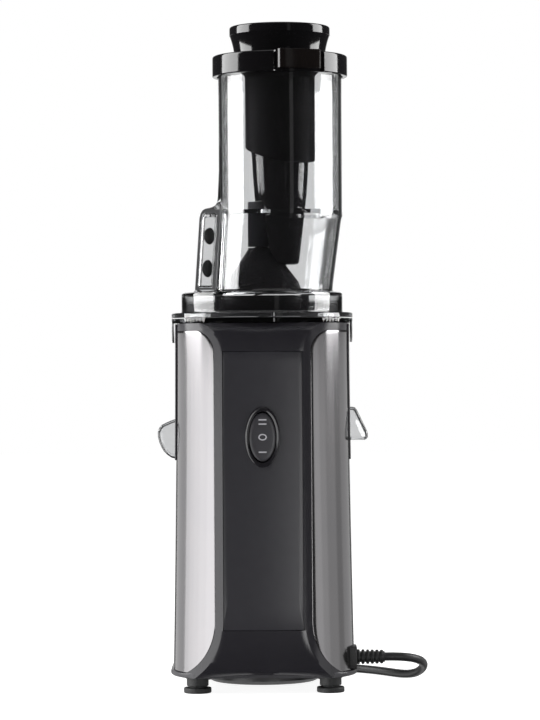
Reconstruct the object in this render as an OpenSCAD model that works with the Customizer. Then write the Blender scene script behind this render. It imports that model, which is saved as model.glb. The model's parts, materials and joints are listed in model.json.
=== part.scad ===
// Cold press juicer: a tall tower with its motor at the foot, a juicing bowl sunk into its
// top, and a clear hopper with a lid, a feed sleeve and a pusher above it.
// Origin: middle of the footprint at the level of the surface it stands on, +Z up,
// -Y the side with the rocker switch, -X the juice spout, +X the pulp spout.

/* [Feet and base] */
// Radius of a rubber foot's disc
foot_r = 9.85; // [7:0.05:12]
// Thickness of a foot's disc
foot_h = 3.8; // [2:0.1:6]
// Radius of a foot's neck
foot_neck_r = 7.8; // [5:0.1:10]
// Distance of the feet inside the tower's sides
foot_in_x = 18; // [15.5:0.5:23.5]
// Distance of the feet inside the tower's front and back
foot_in_y = 22.5; // [19.5:0.5:27.5]
// Height of the base plate's underside above the surface
base_z = 11; // [9:0.5:14]
// Thickness of the base plate, whose edge is the trim ring
base_t = 3.6; // [3:0.1:5]
// How far the trim ring stands out past the panels
trim_proud = 1.8; // [0.5:0.1:3]
// Radius of the vent cover under the base
vent_cover_r = 44; // [36:0.5:46]

/* [Tower] */
// Height of the tower's rim above the surface
tower_top = 263.8; // [255:0.1:275]
// Half width of the tower at its rim
half_top = 62.2; // [61:0.1:63]
// Half width of the tower at its foot
half_bottom = 65.5; // [64:0.1:68]
// Corner radius of the tower's outline
corner_r = 48; // [44:0.5:52]
// How far the flat front and back lie inside the half width
flat_in = 1.4; // [0.5:0.1:2.5]
// Thickness of the metal side panels
panel_t = 1.6; // [1.2:0.1:2]
// Wall of the inner housing
wall_t = 2.6; // [2:0.1:3]
// Half width of the black frame between the metal panels
frame_half = 34.3; // [32:0.1:38]
// Half width of the flat front and rear panels
front_half = 28.5; // [27:0.1:30]
// Height of the black rim above the metal panels
rim_h = 5.3; // [4:0.1:8]
// Lower edge of the front and rear panels
front_z0 = 45.7; // [40:0.1:60]
// Upper edge of the front and rear panels
front_z1 = 243.6; // [236:0.1:250]
// Width of the slots for the spouts
slot_w = 46; // [40:0.5:48]

/* [Bowl and spouts] */
// Outer radius of the juicing bowl
bowl_r = 43.5; // [42.5:0.1:44]
// Wall of the bowl
bowl_t = 2.5; // [2:0.1:3]
// Height of the bowl's underside
bowl_z = 165; // [164:0.1:167]
// How far the bowl's rim and the hopper's foot stand out past the tower's rim
rim_over = 3.9; // [2.8:0.1:5.8]
// Thickness of the bowl's rim
rim_t = 3.3; // [2.5:0.1:4]
// Half width of the juice spout
juice_half = 13.4; // [12:0.1:16]
// Height of the juice channel's top above the bowl's underside
juice_h = 30; // [26:0.1:32]
// Half width of the pulp spout
pulp_half = 16; // [13:0.1:17]
// Height of the pulp spout's underside
pulp_z = 179; // [178.6:0.1:185]
// Height of the pulp channel over its walls
pulp_h = 24; // [20:0.1:27]
// How far both spouts reach from the middle
spout_reach = 76.3; // [74:0.1:80]
// Wall of the spouts and channels
spout_t = 2.3; // [1.8:0.1:2.8]

/* [Auger and strainer] */
// Outer radius of the strainer
strainer_r = 34.5; // [33:0.1:36]
// Wall of the strainer
strainer_t = 1.4; // [1:0.1:2]
// Gap between the auger's flights and the strainer's mesh
flight_gap = 0.4; // [0.3:0.1:1]
// Radius of the auger's core at its foot
core_low_r = 28; // [26:0.5:30]
// Radius of the auger's core at the strainer's mouth
core_high_r = 23; // [20:0.5:25]
// Radius of the auger's journal in the top bushing
journal_r = 5; // [4:0.1:6]
// Outer radius of the top bushing
bushing_r = 10; // [9:0.1:10.5]

/* [Hopper and lid] */
// Sideways offset of the feed tube from the auger's axis
feed_x = 14; // [12:0.1:16]
// Outer radius of the feed tube
tube_r = 45.1; // [44:0.1:47]
// Wall of the hopper
hopper_t = 2.5; // [2:0.1:3]
// Radius of the hopper's skirt
skirt_r = 58.8; // [57:0.1:61]
// Height of the skirt's top
skirt_top = 286.5; // [284:0.1:290]
// Height of the roof over the auger chamber
roof_z = 345.5; // [340:0.5:348]
// Outer radius of the lid ring
lid_r = 49.3; // [48.5:0.1:52]
// Height of the lid ring
lid_h = 15; // [13:0.1:18]
// Outer radius of the feed sleeve in the lid
sleeve_r = 25.4; // [24:0.1:27]
// Wall of the feed sleeve
sleeve_t = 2; // [1.6:0.1:2.4]
// Height of the feed sleeve's end at its axis, as a share of the feed tube's height
sleeve_share = 0.392; // [0.3:0.01:0.5]

/* [Pusher] */
// Radius of the pusher's cap
cap_r = 36.7; // [35.5:0.1:40]
// Height of the whole juicer
total_h = 480; // [475:0.5:490]
// Height of the pusher's cap above the feed tube's mouth
cap_rise = 26; // [20:0.5:36]
// Height of the pusher's lower end
pusher_z = 306.5; // [305:0.5:315]
// Radius of the pusher's lower end
pusher_tip_r = 13.3; // [12:0.1:15]

/* [Switch] */
// Half width of the switch bezel
bezel_half_w = 12.55; // [11.5:0.05:14]
// Half height of the switch bezel
bezel_half_h = 21.4; // [20.5:0.1:24]
// Height of the switch's middle
switch_z = 182.7; // [175:0.1:195]

/* [Drive] */
// Gear module
gear_m = 0.8; // [0.8:0.01:0.82]
// Teeth of each pinion
pinion_teeth = 12; // [11:1:13]
// Teeth of each large gear
wheel_teeth = 60; // [56:2:60]
// Radius of the drive shaft
shaft_r = 7.5; // [7:0.1:8]
// Outer radius of the motor can
motor_r = 38; // [34:0.5:40]

/* [Mains cord] */
// Radius of the mains cord
cord_r = 3.1; // [2.8:0.1:3.5]

/* [Hidden] */

$fn = 96;
eps = 0.01;          // overlap of a cut past the face it opens
gap = 0.3;           // clearance between pieces that move past each other
fit = 0.05;          // radial clearance of a shaft in its bore
hull_fn = 48;        // facets of a round inside a hull
far = 300;           // reach of a cut that goes right through

// feet and base
foot_x = half_bottom - foot_in_x;
foot_y = half_bottom - foot_in_y;

// tower
panel_z0 = base_z + base_t;
panel_z1 = tower_top - rim_h;
inner_in = panel_t + wall_t;
slot_z = bowl_z + 0.1;
flare_top_r = 16;
flare_low_r = 44;
flare_top_z = panel_z1 - 15.5;
flare_low_z = panel_z0 + 37.4;
liner_floor_t = 4.2;
liner_z = bowl_z - gap - liner_floor_t - 0.5;
liner_t = 2;
liner_r = bowl_r + 1;
screw_r = 1.5;
screw_head_r = 3;
screw_reach = 10;

// bowl
rim_r = half_top + rim_over;
bowl_floor_t = 3;
bowl_floor = bowl_z + bowl_floor_t;
bowl_in = bowl_r - bowl_t;
rim_z = tower_top + gap;
pedestal_h = 8;
pedestal_r0 = 22;
pedestal_r1 = 31;
seal_h = 2;
hub_r = 12;
channel_x = 60.5;    // where the channels end and the spouts begin
reach = spout_reach - channel_x;
cover_t_out = 0.9;   // how far the outlet covers stand proud of the metal panels

// strainer and auger
strainer_z = bowl_floor + pedestal_h;
strainer_base_t = 2.5;
strainer_top = rim_z - 2;
strainer_in = strainer_r - strainer_t;
mesh_z = strainer_z + 29;
mesh_t = 0.4;
mesh_r = strainer_in - fit;
flight_r = mesh_r - mesh_t - flight_gap;
flight_t = 3.4;      // half thickness of a flight at its root
auger_z = bowl_floor + seal_h + gap;
auger_core_z = strainer_z + strainer_base_t + gap;
head_z = strainer_top + 1;
head_r = strainer_r;
head_top = skirt_top;
cone_r = 17.5;
cone_z = pusher_z;
neck_z = cone_z + 11.5;
journal_top = roof_z + 5;
hex_r = shaft_r * 0.96;
hex_top = auger_z + 18;

// hopper
tube_top = total_h - cap_rise;
roof_t = 3;
chamber_x = 1.3;     // the chamber's foot leans this far towards the feed tube
chamber_r = 50;
bulge_r = 44.7;
bulge_top_r = 41;
bulge_step = 0.4;    // the chamber's roof stands this far outside the feed tube
foot_t = 3.5;
foot_z = rim_z + rim_t + 0.6;
skirt_z = foot_z + foot_t;
aperture_r = 26;
aperture_x = feed_x + 8;
boss_r = bushing_r + 2;

// lid
lid_top = tube_top + 4.5;
lid_z = lid_top - lid_h;
lid_plate_z = tube_top + 1.2;
mouth_r = cap_r - 3.2;
sleeve_z = roof_z + sleeve_share * (tube_top - roof_z);
sleeve_tilt = 18.3;
sleeve_turn = -56;
latch_turn = 17.5;   // from -Y towards +X
latch_w = 31;
latch_r1 = lid_r + 1.4;
latch_z0 = lid_z + 2.1;
latch_z1 = lid_top + 0.7;
latch_pin_r = 0.8;
latch_pin_y = lid_r - 5.6;
latch_pin_z = lid_top - 1.65;
knuckle_r = 1.45;
knuckle_w = 20;
notch_w = latch_w + 6.4;
notch_wall = 1.4;

// pusher
cap_h = 6.4;
collar_r = mouth_r - gap - 0.2;
collar_z = lid_top - 8;
stem_r = sleeve_r - sleeve_t - 1;
pusher_t = 2.2;
scoop_r = boss_r + 0.8;
stem_waist_r = 19.1;
stem_waist_z = roof_z + 11.5;
stem_low_r = 20.8;
stem_low_z = sleeve_z - 3;
cap_z = total_h - cap_h;

// switch
front_y = -(half_at(switch_z) - flat_in);
bezel_proud = 1.5;
pivot_y = front_y + 3;
rocker_half_w = bezel_half_w - 3.15;
rocker_half_h = bezel_half_h - 4.2;
bezel_in_w = rocker_half_w + 0.4;
bezel_in_h = rocker_half_h + 0.9;
bezel_tube_w = bezel_half_w - 0.95;
bezel_tube_h = bezel_half_h - 1.2;
rocker_pin_r = 1.2;
switch_back_y = pivot_y + 2.5;
switch_body_half_w = 9;
switch_body_half_h = 16;

// drive
tooth_play = 6.6;    // degrees over all teeth by which each flank is thinned for backlash
centre_distance = gear_m * (pinion_teeth + wheel_teeth) / 2;
lay_turn = 180;      // direction of the layshaft from the axis
wheel_tip_r = gear_m * (wheel_teeth / 2 + 1);
case_z = 115;
case_floor_t = 3;
case_wall = 2;
cover_z = 156;
stage_1_z = case_z + case_floor_t + 2;
stage_1_h = 9;
stage_2_z = stage_1_z + stage_1_h + 3;
stage_2_h = 10;
motor_shaft_r = 2.8;
lay_shaft_r = 3;
motor_z = 36;
motor_wall = 2.5;
rotor_r = 21;
bush_r = shaft_r + 4;
bush_z = stage_2_z + stage_2_h + 3;
case_r = wheel_tip_r + 1.5;
screw_ring = case_r + case_wall + 3.2;
screw_turns = [0, 90, -90];
bearing_r = 8;
fan_z = 23;
fan_h = 9;
fan_r = 26;
board_z = 68;
board_h = 50;
board_half = 24;
board_t = 1.6;
board_y = 4 - inner_front(board_z + board_h);
post_r = 2.2;
post_in = 3;         // the posts stand this far inside the board's edges

// mains cord: every point was chosen by hand, straight out of the relief, round behind
// the tower and down to the surface, then into a flat coil with the plug on top
gland_y = -27;
gland_z = 23.2;
gland_half_y = 8.5;
gland_half_z = 8.3;
gland_x = half_at(gland_z) + 1.48;
relief_x = 86.9;
relief_r = 5.45;
coil_y = 118;
coil_r = 34;
coil_turns_high = 2;
plug_y = coil_y + coil_r;
plug_z = 4 * cord_r + 7;
cord_points = [[relief_x, -27, 23.2], [93, -27, 23.2], [100, -26, 22.8], [107, -22.5, 21.6],
    [112.5, -16.5, 19.4], [115.5, -8.5, 16.4], [116, 1, 12.8], [114.5, 11, 9.2],
    [111.5, 21, 6.2], [107, 31, 4.2], [101.5, 41, 3.3], [95, 51, 3.1], [88, 60.5, 3.1],
    [80, 69.5, 3.1], [71.5, 77, 3.1], [62, 82.5, 3.1], [51.5, 85.2, 3.1], [40, 85.6, 3.1],
    [28, 84.6, 3.1], [16, 83.9, 3.1]];
tail_points = [[-33.2, 110.5, 15.5], [-34, 118, 15.5], [-32.8, 127, 15.5], [-29, 135.5, 15.8],
    [-23, 143, 16.8], [-15.5, 149, 18.4], [-8, 152, 19.4], [-2, 152, 19.4]];

// half width of the tower's outline at a height
function half_at(z) = half_top + (half_bottom - half_top) *
    pow(max(0, (tower_top - z)) / (tower_top - panel_z0), 1.6);

// how far the front wall's inner face lies from the middle at a height
function inner_front(z) = half_at(z) - flat_in - inner_in;

// outline of the tower, set in by a distance: a rounded square with flat front and back
function outline(half, inset, steps = 11) =
    let (h = half - inset, r = corner_r - inset, c = h - r, flat = h - flat_in)
    [for (q = [0:3], i = [0:steps])
        let (a = 90 * q + 90 * i / steps,
             x = (q == 0 || q == 3 ? c : -c) + r * cos(a),
             y = (q < 2 ? c : -c) + r * sin(a))
        [x, max(-flat, min(flat, y))]];

// a solid of the tower's outline between two heights
module tower_solid(inset, z0, z1, levels = 5) {
    rings = [for (k = [0:levels]) let (z = z0 + (z1 - z0) * k / levels)
        [for (p = outline(half_at(z), inset)) [p[0], p[1], z]]];
    n = len(rings[0]);
    points = [for (ring = rings) for (p = ring) p];
    sides = [for (k = [0:levels - 1], i = [0:n - 1]) let (j = (i + 1) % n, a = k * n, b = a + n)
        each [[a + i, b + j, a + j], [a + i, b + i, b + j]]];
    floor_face = [for (i = [0:n - 1]) i];
    roof_face = [for (i = [n - 1:-1:0]) levels * n + i];
    polyhedron(points, concat(sides, [floor_face, roof_face]));
}

// the black frame's side of the tower: narrow in the middle, flared at both ends
module frame_prism(inset = 0) {
    half = frame_half - inset;
    low_end = asin(min(1, (flare_low_z - base_z) / flare_low_r));
    top_end = asin(min(1, (panel_z1 - flare_top_z) / flare_top_r));
    right = concat(
        [for (i = [8:-1:0]) let (a = low_end * i / 8)
            [half + flare_low_r * (1 - cos(a)), flare_low_z - flare_low_r * sin(a)]],
        [for (i = [0:8]) let (a = top_end * i / 8)
            [half + flare_top_r * (1 - cos(a)), flare_top_z + flare_top_r * sin(a)]]);
    left = [for (i = [len(right) - 1:-1:0]) [-right[i][0], right[i][1]]];
    rotate([90, 0, 0]) linear_extrude(height = 2 * half_bottom + 20, center = true)
        polygon(concat(right, left));
}

// a box between two corners
module block(low, high) {
    translate(low) cube([high[0] - low[0], high[1] - low[1], high[2] - low[2]]);
}

// an upright disc or tube wall between two heights
module tube(r, z0, z1, bore = 0) {
    difference() {
        translate([0, 0, z0]) cylinder(r = r, h = z1 - z0);
        if (bore > 0) translate([0, 0, z0 - eps]) cylinder(r = bore, h = z1 - z0 + 2 * eps);
    }
}

// an elliptical rod along Y
module oval(half_w, half_h, y0, y1) {
    translate([0, y1, switch_z]) rotate([90, 0, 0]) linear_extrude(height = y1 - y0)
        polygon([for (i = [0:47]) [half_w * cos(7.5 * i), half_h * sin(7.5 * i)]]);
}

// the toothed solid of an involute gear, with a tooth on +X
function involute(base, r) = let (a = acos(min(1, base / r))) tan(a) * 180 / PI - a;
module toothed(teeth, z0, z1, steps) {
    pitch = gear_m * teeth / 2;
    base = pitch * cos(25);
    root = pitch - 1.3 * gear_m;
    tip = pitch + 0.95 * gear_m;
    start = max(base, root);
    half = (90 - tooth_play) / teeth + involute(base, pitch);
    flank = [for (i = [0:steps]) let (r = start + (tip - start) * i / steps)
        [r, half - involute(base, r)]];
    tooth = concat(base > root ? [[root, half]] : [], flank);
    translate([0, 0, z0]) linear_extrude(height = z1 - z0)
        polygon([for (t = [0:teeth - 1], side = [-1, 1], i = [0:len(tooth) - 1])
            let (p = tooth[side < 0 ? i : len(tooth) - 1 - i], a = 360 * t / teeth + side * p[1])
            [p[0] * cos(a), p[0] * sin(a)]]);
}

// a shaft's bore through everything it passes
module shaft_bore(r) {
    translate([0, 0, case_z]) cylinder(r = r, h = liner_z - case_z);
}

// a tube swept along points
module sweep(points, r, sides = 8) {
    n = len(points);
    function along(i) = points[min(n - 1, i + 1)] - points[max(0, i - 1)];
    rings = [for (i = [0:n - 1])
        let (d = along(i), t = d / norm(d), u0 = cross([0, 0, 1], t), u = u0 / norm(u0),
             v = cross(t, u))
        [for (s = [0:sides - 1]) points[i] + r * (cos(360 * s / sides) * u + sin(360 * s / sides) * v)]];
    faces = [for (i = [0:n - 2], s = [0:sides - 1]) let (q = (s + 1) % sides, a = i * sides, b = a + sides)
        each [[a + s, a + q, b + q], [a + s, b + q, b + s]]];
    start_face = [for (s = [sides - 1:-1:0]) s];
    end_face = [for (s = [0:sides - 1]) (n - 1) * sides + s];
    polyhedron([for (ring = rings) for (p = ring) p],
        [for (f = concat(faces, [start_face, end_face])) [for (i = [len(f) - 1:-1:0]) f[i]]]);
}

// ---- pusher ----
module pusher() {
    color("#151416") difference() {
        translate([feed_x, 0, 0]) rotate_extrude() polygon([
            [0, pusher_z], [pusher_tip_r - 2, pusher_z], [pusher_tip_r, pusher_z + 2],
            [stem_waist_r, stem_waist_z], [stem_low_r, stem_low_z], [stem_r, sleeve_z + 8],
            [stem_r, cap_z - gap], [stem_r - pusher_t, cap_z - gap],
            [stem_r - pusher_t, sleeve_z + 8], [stem_low_r - pusher_t, stem_low_z],
            [stem_waist_r - pusher_t, stem_waist_z + 3], [0, stem_waist_z + 3]]);
        rotate_extrude() polygon([[0, pusher_z - 1], [cone_r + 0.9, pusher_z - 1],
            [cone_r + 0.9, pusher_z], [scoop_r, neck_z], [scoop_r, journal_top + 2.5],
            [0, journal_top + 4]]);
    }
}

module pusher_cap() {
    flare_z = lid_top + 4.3;
    flare_h = cap_z - flare_z;
    color("#151416") translate([feed_x, 0, 0]) rotate_extrude() polygon(concat(
        [[0, cap_z], [stem_r + 0.1, cap_z], [stem_r + 0.1, collar_z], [collar_r, collar_z]],
        [for (i = [0:6]) let (a = 15 * i)
            [collar_r + (cap_r - collar_r) * (1 - cos(a)), flare_z + flare_h * sin(a)]],
        [[cap_r, total_h - 1], [cap_r - 1, total_h], [cap_r - 5, total_h],
         [cap_r - 6, total_h - 1.2], [0, total_h - 1.2]]));
}

// ---- lid ----
module latch_frame() {
    translate([feed_x, 0, 0]) rotate([0, 0, latch_turn]) children();
}

module latch_rod(r, w) {
    translate([0, -latch_pin_y, latch_pin_z]) rotate([0, 90, 0])
        cylinder(r = r, h = w, center = true);
}

module lid() {
    sleeve_in = sleeve_r - sleeve_t;
    color("#131214") difference() {
        translate([feed_x, 0, 0]) rotate_extrude() polygon([
            [lid_r - 1.2, lid_z], [lid_r, lid_z + 1.2], [lid_r, lid_top - 1.2],
            [lid_r - 1.2, lid_top], [mouth_r, lid_top], [mouth_r, collar_z - 0.2],
            [sleeve_in, collar_z - 8.6], [sleeve_in, sleeve_z - 20],
            [sleeve_r, sleeve_z - 20], [sleeve_r, collar_z - 9.6],
            [mouth_r + 2.2, collar_z - 1.6], [mouth_r + 2.2, lid_plate_z],
            [tube_r + 0.4, lid_plate_z], [tube_r + 0.4, lid_z]]);
        translate([feed_x, 0, sleeve_z]) rotate([0, 0, sleeve_turn]) rotate([0, sleeve_tilt, 0])
            translate([-50, -50, -60]) cube([100, 100, 60]);
        latch_frame() {
            block([-notch_w / 2, -lid_r - 5, lid_z - 1],
                [notch_w / 2, -tube_r - 0.4 - notch_wall, lid_top + 1]);
            block([-notch_w / 2, -lid_r - 5, lid_plate_z],
                [notch_w / 2, -latch_pin_y - 1.9, lid_top + 1]);
            block([-knuckle_w / 2, -lid_r - 5, lid_plate_z - 1],
                [knuckle_w / 2, -latch_pin_y + 2.4, lid_top + 1]);
            latch_rod(latch_pin_r, knuckle_w + 10);
        }
    }
}

module lid_seal() {
    color("#232326") translate([feed_x, 0, 0])
        tube(tube_r, tube_top + gap, lid_plate_z, tube_r - 4);
}

module lid_latch() {
    tab_y = tube_r + 0.4 + notch_wall + 0.4;
    color("#1b1716") latch_frame() difference() {
        union() {
            intersection() {
                block([-latch_w / 2, -latch_r1, latch_z0], [latch_w / 2, -tab_y, latch_z1]);
                tube(latch_r1 + 1.2, latch_z0, latch_z1);
            }
            block([-knuckle_w / 2 + gap, -tab_y, latch_pin_z - knuckle_r + gap],
                [knuckle_w / 2 - gap, -latch_pin_y, latch_pin_z + knuckle_r]);
            latch_rod(knuckle_r, knuckle_w - 2 * gap);
        }
        latch_rod(latch_pin_r + fit, knuckle_w + 2);
    }
}

module latch_pin() {
    color("silver") latch_frame() latch_rod(latch_pin_r, knuckle_w + 9.6);
}

// ---- hopper ----
module chamber(inset, z0, top, round_top) {
    r = chamber_r - inset;
    hull() {
        translate([chamber_x, 0, z0]) cylinder(r = r, h = 0.1, $fn = hull_fn);
        translate([0, 0, top - round_top]) cylinder(r = bulge_r - inset, h = 0.1, $fn = hull_fn);
        translate([0, 0, top - 0.1])
            cylinder(r = (round_top > 0 ? bulge_top_r : bulge_r) - inset, h = 0.1, $fn = hull_fn);
        translate([feed_x, 0, top - 0.1])
            cylinder(r = tube_r + bulge_step - inset, h = 0.1, $fn = hull_fn);
    }
}

module hopper() {
    tube_in = tube_r - hopper_t;
    color("#cfd2d6", 0.4) difference() {
        union() {
            translate([feed_x, 0, 0]) tube(tube_r, roof_z + 1, tube_top);
            chamber(0, skirt_top - 2, roof_z + 2, 6);
            rotate_extrude() polygon([
                [chamber_r - 3, skirt_top - hopper_t], [skirt_r - hopper_t, skirt_top - hopper_t],
                [skirt_r - hopper_t, foot_z], [rim_r, foot_z], [rim_r, skirt_z], [skirt_r, skirt_z],
                [skirt_r, skirt_top - 1.5], [skirt_r - 1.5, skirt_top], [chamber_r - 3, skirt_top]]);
        }
        translate([feed_x, 0, roof_z]) cylinder(r = tube_in, h = far);
        chamber(hopper_t, skirt_top - hopper_t - 5, roof_z - roof_t, 0);
        difference() {
            translate([aperture_x, 0, roof_z - 10]) cylinder(r = aperture_r, h = 20);
            translate([0, 0, roof_z - 11]) cylinder(r = boss_r, h = 22);
        }
        translate([0, 0, roof_z - 10]) cylinder(r = bushing_r, h = 20);
    }
}

module hopper_bushing() {
    color("#1a1a1c") difference() {
        union() {
            tube(bushing_r, neck_z + 2, journal_top + 2, 0);
            tube(boss_r, roof_z, roof_z + 1.5, 0);
        }
        translate([0, 0, neck_z]) cylinder(r = journal_r + fit, h = journal_top + 0.5 - neck_z);
    }
}

module hopper_seal() {
    color("#232326") tube(skirt_r - hopper_t, rim_z + rim_t + gap, skirt_z, bowl_in + 9);
}

// ---- auger and strainer ----
// a screw flight that climbs from z0 to z1, its tip radius running from r0 to r1
module flight(turn, z0, z1, inner, r0, r1, turns) {
    steps = round(20 * turns);
    rings = [for (i = [0:steps])
        let (t = i / steps, a = turn + 360 * turns * t, z = z0 + (z1 - z0) * t, r = r0 + (r1 - r0) * t)
        [for (p = [[inner, z - flight_t], [r, z - flight_t / 3], [r, z + flight_t / 3],
                   [inner, z + flight_t]])
            [p[0] * cos(a), p[0] * sin(a), p[1]]]];
    sides = [for (i = [0:steps - 1], s = [0:3]) let (q = (s + 1) % 4, a = 4 * i, b = a + 4)
        each [[a + s, a + q, b + q], [a + s, b + q, b + s]]];
    polyhedron([for (ring = rings) for (p = ring) p],
        concat(sides, [[3, 2, 1, 0], [for (s = [0:3]) 4 * steps + s]]));
}

module auger() {
    color("#17161a") difference() {
        union() {
            rotate_extrude() polygon([
                [0, auger_z], [hub_r, auger_z], [hub_r, auger_core_z],
                [core_low_r, auger_core_z], [core_high_r, strainer_top - 6],
                [core_high_r + 2, head_z], [head_r - 1, head_z], [head_r, head_z + 1],
                [head_r, head_top - 2], [head_r - 4, head_top + 3], [cone_r, cone_z],
                [bushing_r, neck_z], [bushing_r, neck_z + 1], [journal_r, neck_z + 1],
                [journal_r, journal_top], [0, journal_top]]);
            for (turn = [0, 180])
                flight(turn, auger_core_z + 4, head_z - 2, core_high_r - 8, flight_r, flight_r, 1.75);
            for (turn = [20, 200])
                flight(turn, head_top - 1, cone_z - 3, 6, head_r - 0.5, cone_r, 0.5);
        }
        translate([0, 0, auger_z - 1]) cylinder(r = hex_r + 0.35, h = hex_top - auger_z + 1.6, $fn = 6);
    }
}

module strainer_frame() {
    ribs = 8;
    window_h = (strainer_top - strainer_z - 26 - 3 * 6) / 2;
    color("#3a3a3e") difference() {
        union() {
            tube(strainer_r, strainer_z, strainer_top, strainer_in);
            tube(strainer_r - 0.4, strainer_z, strainer_z + strainer_base_t, hub_r + 1);
            tube(bowl_in - 0.4, strainer_top - 3, strainer_top, strainer_in);
        }
        for (i = [0:ribs - 1], row = [0, 1]) rotate([0, 0, 360 * (i + 0.5) / ribs])
            translate([0, 0, mesh_z + 2 + row * (window_h + 5)])
                block([10, -9.5, 0], [strainer_r + 5, 9.5, window_h]);
        block([0, -pulp_half + spout_t, pulp_z + spout_t],
            [far, pulp_half - spout_t, pulp_z + pulp_h - spout_t]);
    }
}

module strainer_mesh() {
    slots = 36;
    high = strainer_top - 5;
    color("silver") difference() {
        tube(mesh_r, mesh_z, high, mesh_r - mesh_t);
        for (i = [0:slots - 1]) rotate([0, 0, 360 * i / slots])
            block([10, -0.4, mesh_z + 3], [strainer_r, 0.4, high - 3]);
    }
}

// ---- bowl ----
module bowl() {
    juice_in = juice_half - spout_t;
    pulp_in = pulp_half - spout_t;
    color("#d5d8dc", 0.4) difference() {
        union() {
            tube(bowl_r, bowl_z, rim_z + rim_t);
            tube(rim_r, rim_z, rim_z + rim_t);
            block([-channel_x, -juice_half, slot_z + 0.6], [0, juice_half, bowl_z + juice_h]);
            block([-channel_x, -juice_half - 3, slot_z + 0.6],
                [-channel_x + 2, juice_half + 3, bowl_z + juice_h + 3]);
            block([0, -pulp_half, pulp_z], [channel_x, pulp_half, pulp_z + pulp_h]);
            block([channel_x - 2, -pulp_half - 3, pulp_z - 3],
                [channel_x, pulp_half + 3, pulp_z + pulp_h + 3]);
            for (side = [0, 1]) mirror([side, 0, 0]) intersection() {
                tube(rim_r, rim_z - 16, rim_z + 1);
                hull() {
                    block([rim_r - 2.1, -16, rim_z - 10], [rim_r + 0.1, 16, rim_z + 1]);
                    block([rim_r - 2.1, -13, rim_z - 14], [rim_r - 0.9, 13, rim_z]);
                }
            }
        }
        difference() {
            translate([0, 0, bowl_floor]) cylinder(r = bowl_in, h = far);
            tube(pedestal_r1, bowl_floor - 1, strainer_z, pedestal_r0);
            block([strainer_r + 0.4, -pulp_half, pulp_z], [bowl_r, pulp_half, pulp_z + pulp_h]);
        }
        block([-channel_x - 1, -juice_in, bowl_floor + 0.2],
            [-bowl_in + 4, juice_in, bowl_z + juice_h - spout_t]);
        block([strainer_r - 4, -pulp_in, pulp_z + spout_t],
            [channel_x + 1, pulp_in, pulp_z + pulp_h - spout_t]);
        translate([0, 0, bowl_z - 1]) cylinder(r = shaft_r + 1, h = 10);
    }
}

module bowl_seal() {
    color("#2b2b2e") tube(hub_r - 0.5, bowl_floor, bowl_floor + seal_h, shaft_r + gap);
}

// ---- spouts and their covers ----
module side_profile(points, half) {
    rotate([90, 0, 0]) linear_extrude(height = 2 * half, center = true) polygon(points);
}

// a spout's outline moved in by its wall, and open towards the channel
function hollow(points, wall) = let (n = len(points)) [for (i = [0:n - 1])
    let (a = points[i] - points[(i + n - 1) % n], b = points[(i + 1) % n] - points[i],
         u = [-a[1], a[0]] / norm(a), v = [-b[1], b[0]] / norm(b),
         q = points[i] + wall * (u + v) / (1 + u * v))
    [i == 0 || i == n - 1 ? channel_x - 1 : q[0], q[1]]];

module spout(points, half, mouth_low, mouth_high) {
    color("#cfd2d6", 0.4) difference() {
        side_profile(points, half);
        side_profile(hollow(points, spout_t), half - spout_t);
        block([mouth_low[0], 1 + spout_t - half, mouth_low[1]],
            [mouth_high[0], half - spout_t - 1, mouth_high[1]]);
    }
}

module juice_spout() {
    low = slot_z + 0.6;
    top = bowl_z + juice_h;
    nose = spout_reach;
    mirror([1, 0, 0]) spout([[channel_x, low], [nose - 0.589 * reach, low + 1.5],
        [nose - 0.24 * reach, low + 6.6], [nose - 0.05 * reach, low + 12.8], [nose, low + 18.3],
        [nose - 0.114 * reach, top - 5.5], [nose - 0.24 * reach, top - 4],
        [nose - 0.81 * reach, top], [channel_x, top]],
        juice_half, [channel_x + 0.228 * reach, low - 5], [nose - 0.291 * reach, low + 9]);
}

module pulp_spout() {
    low = pulp_z;
    top = pulp_z + pulp_h;
    nose = spout_reach;
    spout([[channel_x, low], [nose - 2, low], [nose, low + 2], [nose - 0.3, low + 5.5],
        [nose - 0.525 * reach, top - 1.5], [nose - 0.684 * reach, top], [channel_x, top]],
        pulp_half, [channel_x + 0.24 * reach, low - 5], [nose - spout_t - 0.3, low + spout_t + 1]);
}

module outlet_cover(half, z0, z1) {
    edge = slot_w / 2 - gap;
    difference() {
        intersection() {
            tower_solid(-cover_t_out, slot_z + gap, tower_top - gap);
            block([channel_x, -edge, 0], [far, edge, far]);
        }
        block([0, -half - 0.1, z0 - 0.1], [far, half + 0.1, z1 + 0.1]);
    }
}

module juice_cover() {
    color("#1b1a1c") mirror([1, 0, 0])
        outlet_cover(juice_half, slot_z + 0.6, bowl_z + juice_h);
}

module pulp_cover() {
    color("#1b1a1c") outlet_cover(pulp_half, pulp_z, pulp_z + pulp_h);
}

// ---- tower ----
module slots(margin = 0) {
    edge = slot_w / 2 + margin;
    for (side = [0, 1]) mirror([side, 0, 0]) block([50, -edge, slot_z], [far, edge, far]);
}

// the gland's notch, open at the tower's foot and closed there by the base plate
module gland_notch() {
    block([50, gland_y - gland_half_y - 0.15, base_z],
        [far, gland_y + gland_half_y + 0.15, gland_z + gland_half_z + 0.15]);
}

module panel_recess(side) {
    difference() {
        block([-front_half, min(0, side * far), front_z0], [front_half, max(0, side * far), front_z1]);
        tower_solid(2, front_z0 - 1, front_z1 + 1);
    }
}

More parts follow.
